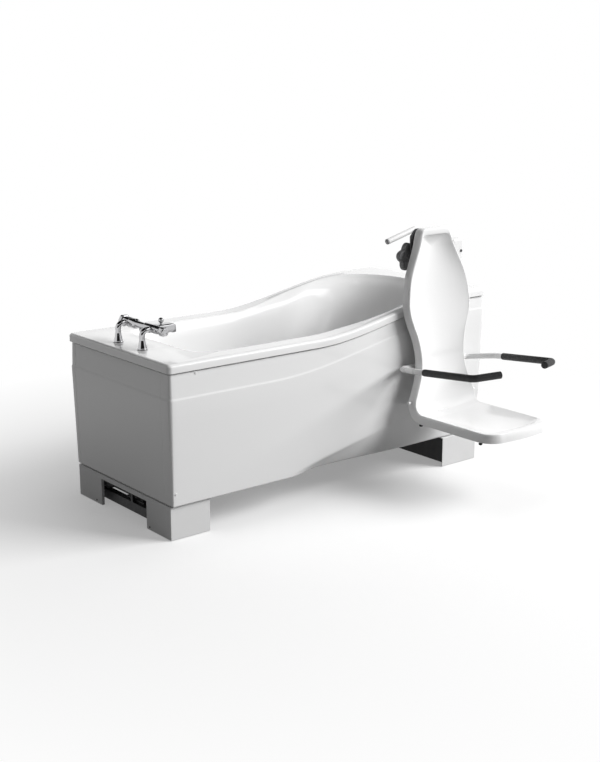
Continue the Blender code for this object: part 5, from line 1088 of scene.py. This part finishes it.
def inward(outline, i):
    """Direction across the outline towards its middle, with the ends mirrored."""
    ahead = outline[i + 1] if i + 1 < len(outline) else Vector((-outline[i - 1].x, outline[i - 1].y))
    behind = outline[i - 1] if i > 0 else Vector((-outline[1].x, outline[1].y))
    along = (ahead - behind).normalized()
    return Vector((-along.y, along.x))


def shell_columns():
    """For each point of the outline, the (half width, distance, depth) places from the flange's edge in."""
    outline = shell_outline()
    waist = crest_distance(z=WAIST_Z)
    shoulder = crest_distance(z=SHOULDER_Z)
    hips = crest_distance(z=SEAT_RIM_Z + 0.02)
    spine_top = 0.085
    spine_end = outline[-1].y - 0.100
    columns = []
    for i, point in enumerate(outline):
        across = inward(outline, i)
        places = []
        for inset, depth in ((0.0, flange_depth(point.y)), (0.002, 0.018), (0.0055, 0.005), (0.011, 0.0)):
            place = point + across * inset
            places.append(Vector((max(place.x, 0.0), place.y, depth)))
        place = point + across * (0.016 + FRONT_LIP * eased(point.y, (spine_end, 0.08)))
        place.y += CROWN_LIP * smoothstep(1.0 - point.y / 0.045)
        half, distance, depth = max(place.x, 0.0), place.y, 0.0015
        places.append(Vector((half, distance, depth)))
        spine = min(max(distance, spine_top), spine_end)
        full = dish_depth(spine, waist, shoulder, hips)
        for share, sink in DISH_SECTION:
            along = mix(distance, spine, share)
            deep = mix(depth, full, sink) + sink * fold_extra(along, full)
            places.append(Vector((half * (1 - share), along, deep)))
        mirrored = Vector((-places[-2].x, places[-2].y, places[-2].z))
        columns.append(spline(places, 4, after=mirrored))
    return columns


def shell_place(half, distance, depth, side):
    point, rear = crest_point(distance)
    return Vector((SEAT_X + side * half, 0.0, 0.0)) + point + rear * depth


def make_shell():
    columns = shell_columns()
    surface = bmesh.new()
    for side in (1.0, -1.0):
        grid = [[surface.verts.new(shell_place(*place, side)) for place in column] for column in columns]
        for left, right in zip(grid, grid[1:]):
            for i in range(len(left) - 1):
                surface.faces.new((left[i], right[i], right[i + 1], left[i + 1]))
    bmesh.ops.remove_doubles(surface, verts=surface.verts, dist=0.00002)
    bmesh.ops.dissolve_degenerate(surface, edges=surface.edges, dist=0.00002)
    bmesh.ops.recalc_face_normals(surface, faces=surface.faces)
    target = Vector((SEAT_X, -0.70, SEAT_RIM_Z))
    seat = min(surface.faces, key=lambda face: (face.calc_center_median() - target).length)
    if seat.normal.z < 0:
        bmesh.ops.reverse_faces(surface, faces=surface.faces)
    shell = modified(surface, "SOLIDIFY", thickness=SEAT_WALL, offset=-1.0, use_even_offset=False)
    piece("seat_shell_moulding", "chair", "gelcoat", shell, ["seat_shell"], 50.0)


# Steering handle and clamp

def make_wheel():
    def lobes(angle, radius):
        share = 0.5 + 0.5 * cos(WHEEL_LOBES * (angle - WHEEL_PHASE))
        full = (WHEEL_WAIST + (WHEEL_RADIUS - WHEEL_WAIST) * share ** 0.7) / WHEEL_RADIUS
        return radius * mix(1.0, full, smoothstep((radius - 0.015) / 0.035))

    hub = BRACKET_REAR_Y + GAP
    low = hub + WHEEL_HUB_LENGTH
    high = low + WHEEL_WIDTH
    rim = WHEEL_RADIUS - WHEEL_EDGE
    profile = [(0.0, hub), (WHEEL_HUB_RADIUS, hub), (WHEEL_HUB_RADIUS, low), (0.030, low),
               (0.034, low + 0.003), (0.046, low + 0.003), (0.052, low)]
    profile += [(rim + u, low + WHEEL_EDGE + v) for u, v in arc(WHEEL_EDGE, -90.0, 0.0, 6)]
    profile += [(rim + u, high - WHEEL_EDGE + v) for u, v in arc(WHEEL_EDGE, 0.0, 90.0, 6)]
    profile += [(0.052, high), (0.046, high - 0.003), (0.030, high - 0.003), (0.026, high),
                (0.012, high), (0.010, high - 0.002), (0.0, high - 0.002)]
    wheel = turned(profile, WHEEL_PLACE, "Y", 160, wave=lobes)
    piece("clamp_wheel_lobed", "clamp_body", "dark_plastic", wheel, ["clamp_handwheel"], 40.0,
          "wheel_plastic")


def make_steering():
    axis_y = BRACKET_REAR_Y + GAP + STEER_RADIUS
    root, tip = (Vector((x, axis_y, z)) for x, z in (STEER_ROOT, STEER_TIP))
    along = (tip - root).normalized()
    length = (tip - root).length
    bore = STEER_RADIUS - STEER_WALL
    tube = [(bore, 0.0), (STEER_RADIUS, 0.0), (STEER_RADIUS, length), (bore, length)]
    handle = turned_along(softened(tube, 0.0005), root, along, 48, cyclic=True)
    piece("steering_tube", "chair", "white_paint", handle, ["steering_handle"], 40.0)
    inside = bore - GAP
    profile = [(0.0, -0.012), (inside, -0.012), (inside, GAP), (STEER_RADIUS, GAP),
               (STEER_RADIUS, STEER_CAP - 0.0015), (STEER_RADIUS - 0.0015, STEER_CAP),
               (0.0, STEER_CAP + 0.0004)]
    cap = turned_along(softened(profile, 0.0006), tip, along, 48)
    piece("steering_tube_cap", "chair", "grey_plastic", cap, ["handle_cap"], 40.0)


# Folding arms

def make_arm(name, side):
    corners = [Vector((SEAT_X + side * out, y, z)) for out, y, z in ARM_CORNERS]
    route = rounded(corners, ARM_BENDS, 16)
    knee, front = corners[2:4]
    start = knee.lerp(front, (GRIP_START_Y - knee.y) / (front.y - knee.y))
    first = next(i for i, point in enumerate(route) if point.y < GRIP_START_Y)
    route = route[:first] + [start] + route[first:]
    frames = side_frames(route)
    sides = 32
    rings = [round_ring(p, f, ARM_RADIUS, sides) for p, f in zip(route, frames)]
    bore_end = Vector((SEAT_X + side * PIVOT_BORE_END, PIVOT_Y, PIVOT_Z))
    bore = PIVOT_RADIUS + GAP
    rings += [[route[-1]], [bore_end], round_ring(bore_end, frames[0], bore, sides),
              round_ring(route[0], frames[0], bore, sides)]
    piece(name + "_bent_tube", name, "white_paint", loft(rings, cyclic=True), [name + "_tube"], 40.0)

    sleeve = route[first:]
    pairs = frames[first:]
    end = sleeve[-1]
    ahead = (end - sleeve[-2]).normalized()
    back = (sleeve[1] - sleeve[0]).normalized()
    inner = ARM_RADIUS + GAP
    mouth = ((0.0, inner), (0.0, GRIP_RADIUS - 0.0020), (0.0006, GRIP_RADIUS - 0.0006), (0.0020, GRIP_RADIUS))
    rings = [round_ring(start + back * along, pairs[0], radius, sides) for along, radius in mouth]
    rings += [round_ring(p, f, GRIP_RADIUS, sides) for p, f in zip(sleeve[1:], pairs[1:])]
    for u, v in arc(GRIP_END, 10.0, 90.0, 6):
        rings.append(round_ring(end + ahead * v, pairs[-1], GRIP_RADIUS - GRIP_END + u, sides))
    clear = end + ahead * GAP
    rings += [[end + ahead * GRIP_END], [clear], round_ring(clear, pairs[-1], inner, sides)]
    rings += [round_ring(p, f, inner, sides) for p, f in reversed(list(zip(sleeve, pairs))[1:-1])]
    piece(name + "_sleeve", name, "grip_foam", loft(rings, cyclic=True), [name + "_grip"], 40.0)


# Feet and fasteners

def make_feet():
    for place in ("foot_front", "foot_rear", "head_front", "head_rear"):
        node = "levelling_foot_" + place
        low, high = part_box(node)
        centre = (low + high) / 2
        radius = (high.x - low.x) / 2
        profile = [(0.0, low.z), (radius - 0.001, low.z), (radius, low.z + 0.001), (radius, 0.003),
                   (0.8 * radius, 0.006), (0.5 * radius, 0.0075), (0.4 * radius, 0.009),
                   (0.4 * radius, high.z), (0.0, high.z)]
        pad = turned(softened(profile, 0.0008), (centre.x, centre.y - MIDDLE), "Z", 40)
        piece(node + "_pad", "base", "rubber", pad, [node])


def fasten(kind, number, place):
    """Domed head with a recess in its middle; place lies on the surface that it is screwed to."""
    body, slot, (radius, height, socket), direction = FASTENERS[kind]
    profile = [(0.0, 0.0), (radius, 0.0), (radius, 0.35 * height), (0.86 * radius, 0.75 * height),
               (0.6 * radius, height), (socket * 1.1, height), (socket, 0.45 * height), (0.0, 0.45 * height)]
    head = turned_along(softened(profile, 0.12 * radius), Vector(place), Vector(direction), 32)
    piece(kind + "_" + str(number), body, slot, head)


def panel_face_y(x, z):
    """Y of the front panel's outer face."""
    levels = skin_levels(x)
    for (low, inset_low), (high, inset_high) in zip(levels, levels[1:]):
        if low <= z <= high:
            inset = mix(inset_low, inset_high, (z - low) / max(high - low, 1e-6))
            return -(RIM_WIDTH / 2 - inset)
    return -(RIM_WIDTH / 2 - BAND_INSET)


def make_fasteners():
    for number, (x, z) in enumerate(SCREW_CAPS, 1):
        fasten("panel_screw_cap", number, (x, panel_face_y(x, z), z))
    for number, (y, z) in enumerate(PLINTH_SCREWS, 1):
        fasten("plinth_screw", number, (PLINTH_FACE_X, y, z))
    low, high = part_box("hanger_block")
    for number, (x, z) in enumerate(HANGER_BOLTS, 1):
        fasten("hanger_bolt", number, (x, low.y - MIDDLE, z))


# Studio

def background_rays(tree):
    """1 where a camera, glossy or transmission ray looks, and 0 for the light on surfaces."""
    path = add_node(tree, "LightPath", {})
    total = path.outputs["Is Camera Ray"]
    for name in ("Is Glossy Ray", "Is Transmission Ray"):
        total = add_node(tree, "Math", {0: total, 1: path.outputs[name]}, "MAXIMUM")
    return total


def make_world():
    world = bpy.data.worlds.new("studio")
    bpy.context.scene.world = world
    world.use_nodes = True
    tree = world.node_tree
    fill = tree.nodes["Background"]
    feed(tree, fill, {"Color": WHITE, "Strength": WORLD_FILL})
    white = add_node(tree, "Background", {"Color": WHITE, "Strength": 1.0})
    seen = background_rays(tree)
    choose = add_node(tree, "MixShader", {"Fac": seen, 1: fill, 2: white})
    feed(tree, tree.nodes["World Output"], {"Surface": choose})


def make_floor():
    floor = bmesh.new()
    bmesh.ops.create_circle(floor, cap_ends=True, segments=96, radius=FLOOR_RADIUS)
    made = placed("studio_floor", mesh_of(floor, "studio_floor"))
    material, tree = new_material("studio_floor")
    tree.nodes.remove(tree.nodes["Principled BSDF"])
    seen = background_rays(tree)
    tone = add_node(tree, "MapRange", {"Value": seen, "To Min": FLOOR_BOUNCE, "To Max": FLOOR_COLOUR})
    matt = add_node(tree, "BsdfDiffuse", {"Color": tone})
    glow = add_node(tree, "Emission", {"Strength": 1.0})
    place = add_node(tree, "TexCoord", {})
    distance = add_node(tree, "VectorMath", {0: place.outputs["Object"]}, "LENGTH")
    away = add_node(tree, "MapRange", {"Value": distance.outputs["Value"], "From Min": FLOOR_FADE[0],
                                       "From Max": FLOOR_FADE[1], "To Min": FLOOR_LIFT, "To Max": 1.0})
    share = add_node(tree, "Math", {0: away, 1: seen}, "MULTIPLY")
    choose = add_node(tree, "MixShader", {"Fac": share, 1: matt, 2: glow})
    feed(tree, tree.nodes["Material Output"], {"Surface": choose})
    made.data.materials.append(material)


def card_material(name, glow):
    material, tree = new_material(name)
    feed(tree, tree.nodes["Principled BSDF"], {"Base Color": CARD_COLOUR, "Roughness": 1.0,
                                               "Emission Color": WHITE, "Emission Strength": glow})
    return material


def make_cards():
    """Cards round the studio, which only reflections see: dark ones that paint dark reflections into the
    chrome, and a glowing one that paints the key lamp's reflection.
    """
    dark = card_material("studio_flag", 0.0)
    bright = card_material("studio_glow", CARD_GLOW)
    for number, (start, end, *edges) in enumerate(CARDS, 1):
        card = bmesh.new()
        rows = [[card.verts.new((x, y, height)) for x, y in arc(radius, start, end, CARD_STEPS)]
                for radius, height in edges]
        for i in range(CARD_STEPS):
            card.faces.new((rows[0][i], rows[0][i + 1], rows[1][i + 1], rows[1][i]))
        name = "studio_flag_" + str(number)
        made = placed(name, mesh_of(card, name))
        made.data.materials.append(bright if number == len(CARDS) else dark)
        made.visible_camera = False
        made.visible_diffuse = False
        made.visible_shadow = False


def make_lamps():
    for name, (place, target, size, power) in LAMPS.items():
        lamp = bpy.data.lights.new(name, "AREA")
        lamp.shape = "RECTANGLE"
        lamp.size, lamp.size_y = size
        lamp.energy = power
        made = placed(name, lamp)
        made.location = place
        made.rotation_euler = (Vector(target) - Vector(place)).to_track_quat("-Z", "Y").to_euler()
        made.visible_glossy = False


def make_camera():
    data = bpy.data.cameras.new("camera")
    data.sensor_width = SENSOR
    data.lens = SENSOR * FOCAL_PIXELS / PHOTO_LONG_SIDE
    camera = placed("camera", data)
    camera.location = Vector(CAMERA_PLACE) + Vector((0.0, MIDDLE, 0.0))
    camera.rotation_euler = (radians(90.0 - CAMERA_ELEVATION), 0.0, radians(CAMERA_AZIMUTH))
    bpy.context.scene.camera = camera


bpy.context.scene.view_settings.view_transform = "Standard"
make_camera()
finishes = {name: make_finish(name, *looks, **extra) for name, (*looks, extra) in FINISHES.items()}
dress_nodes()
make_tub()
make_panels()
make_waste()
make_hose()
make_tap_legs()
make_tap_body()
make_tap_spout()
make_tap_handles()
make_shell()
make_wheel()
make_steering()
make_arm("right_arm", -1.0)
make_arm("left_arm", 1.0)
make_feet()
make_fasteners()
make_world()
make_floor()
make_cards()
make_lamps()
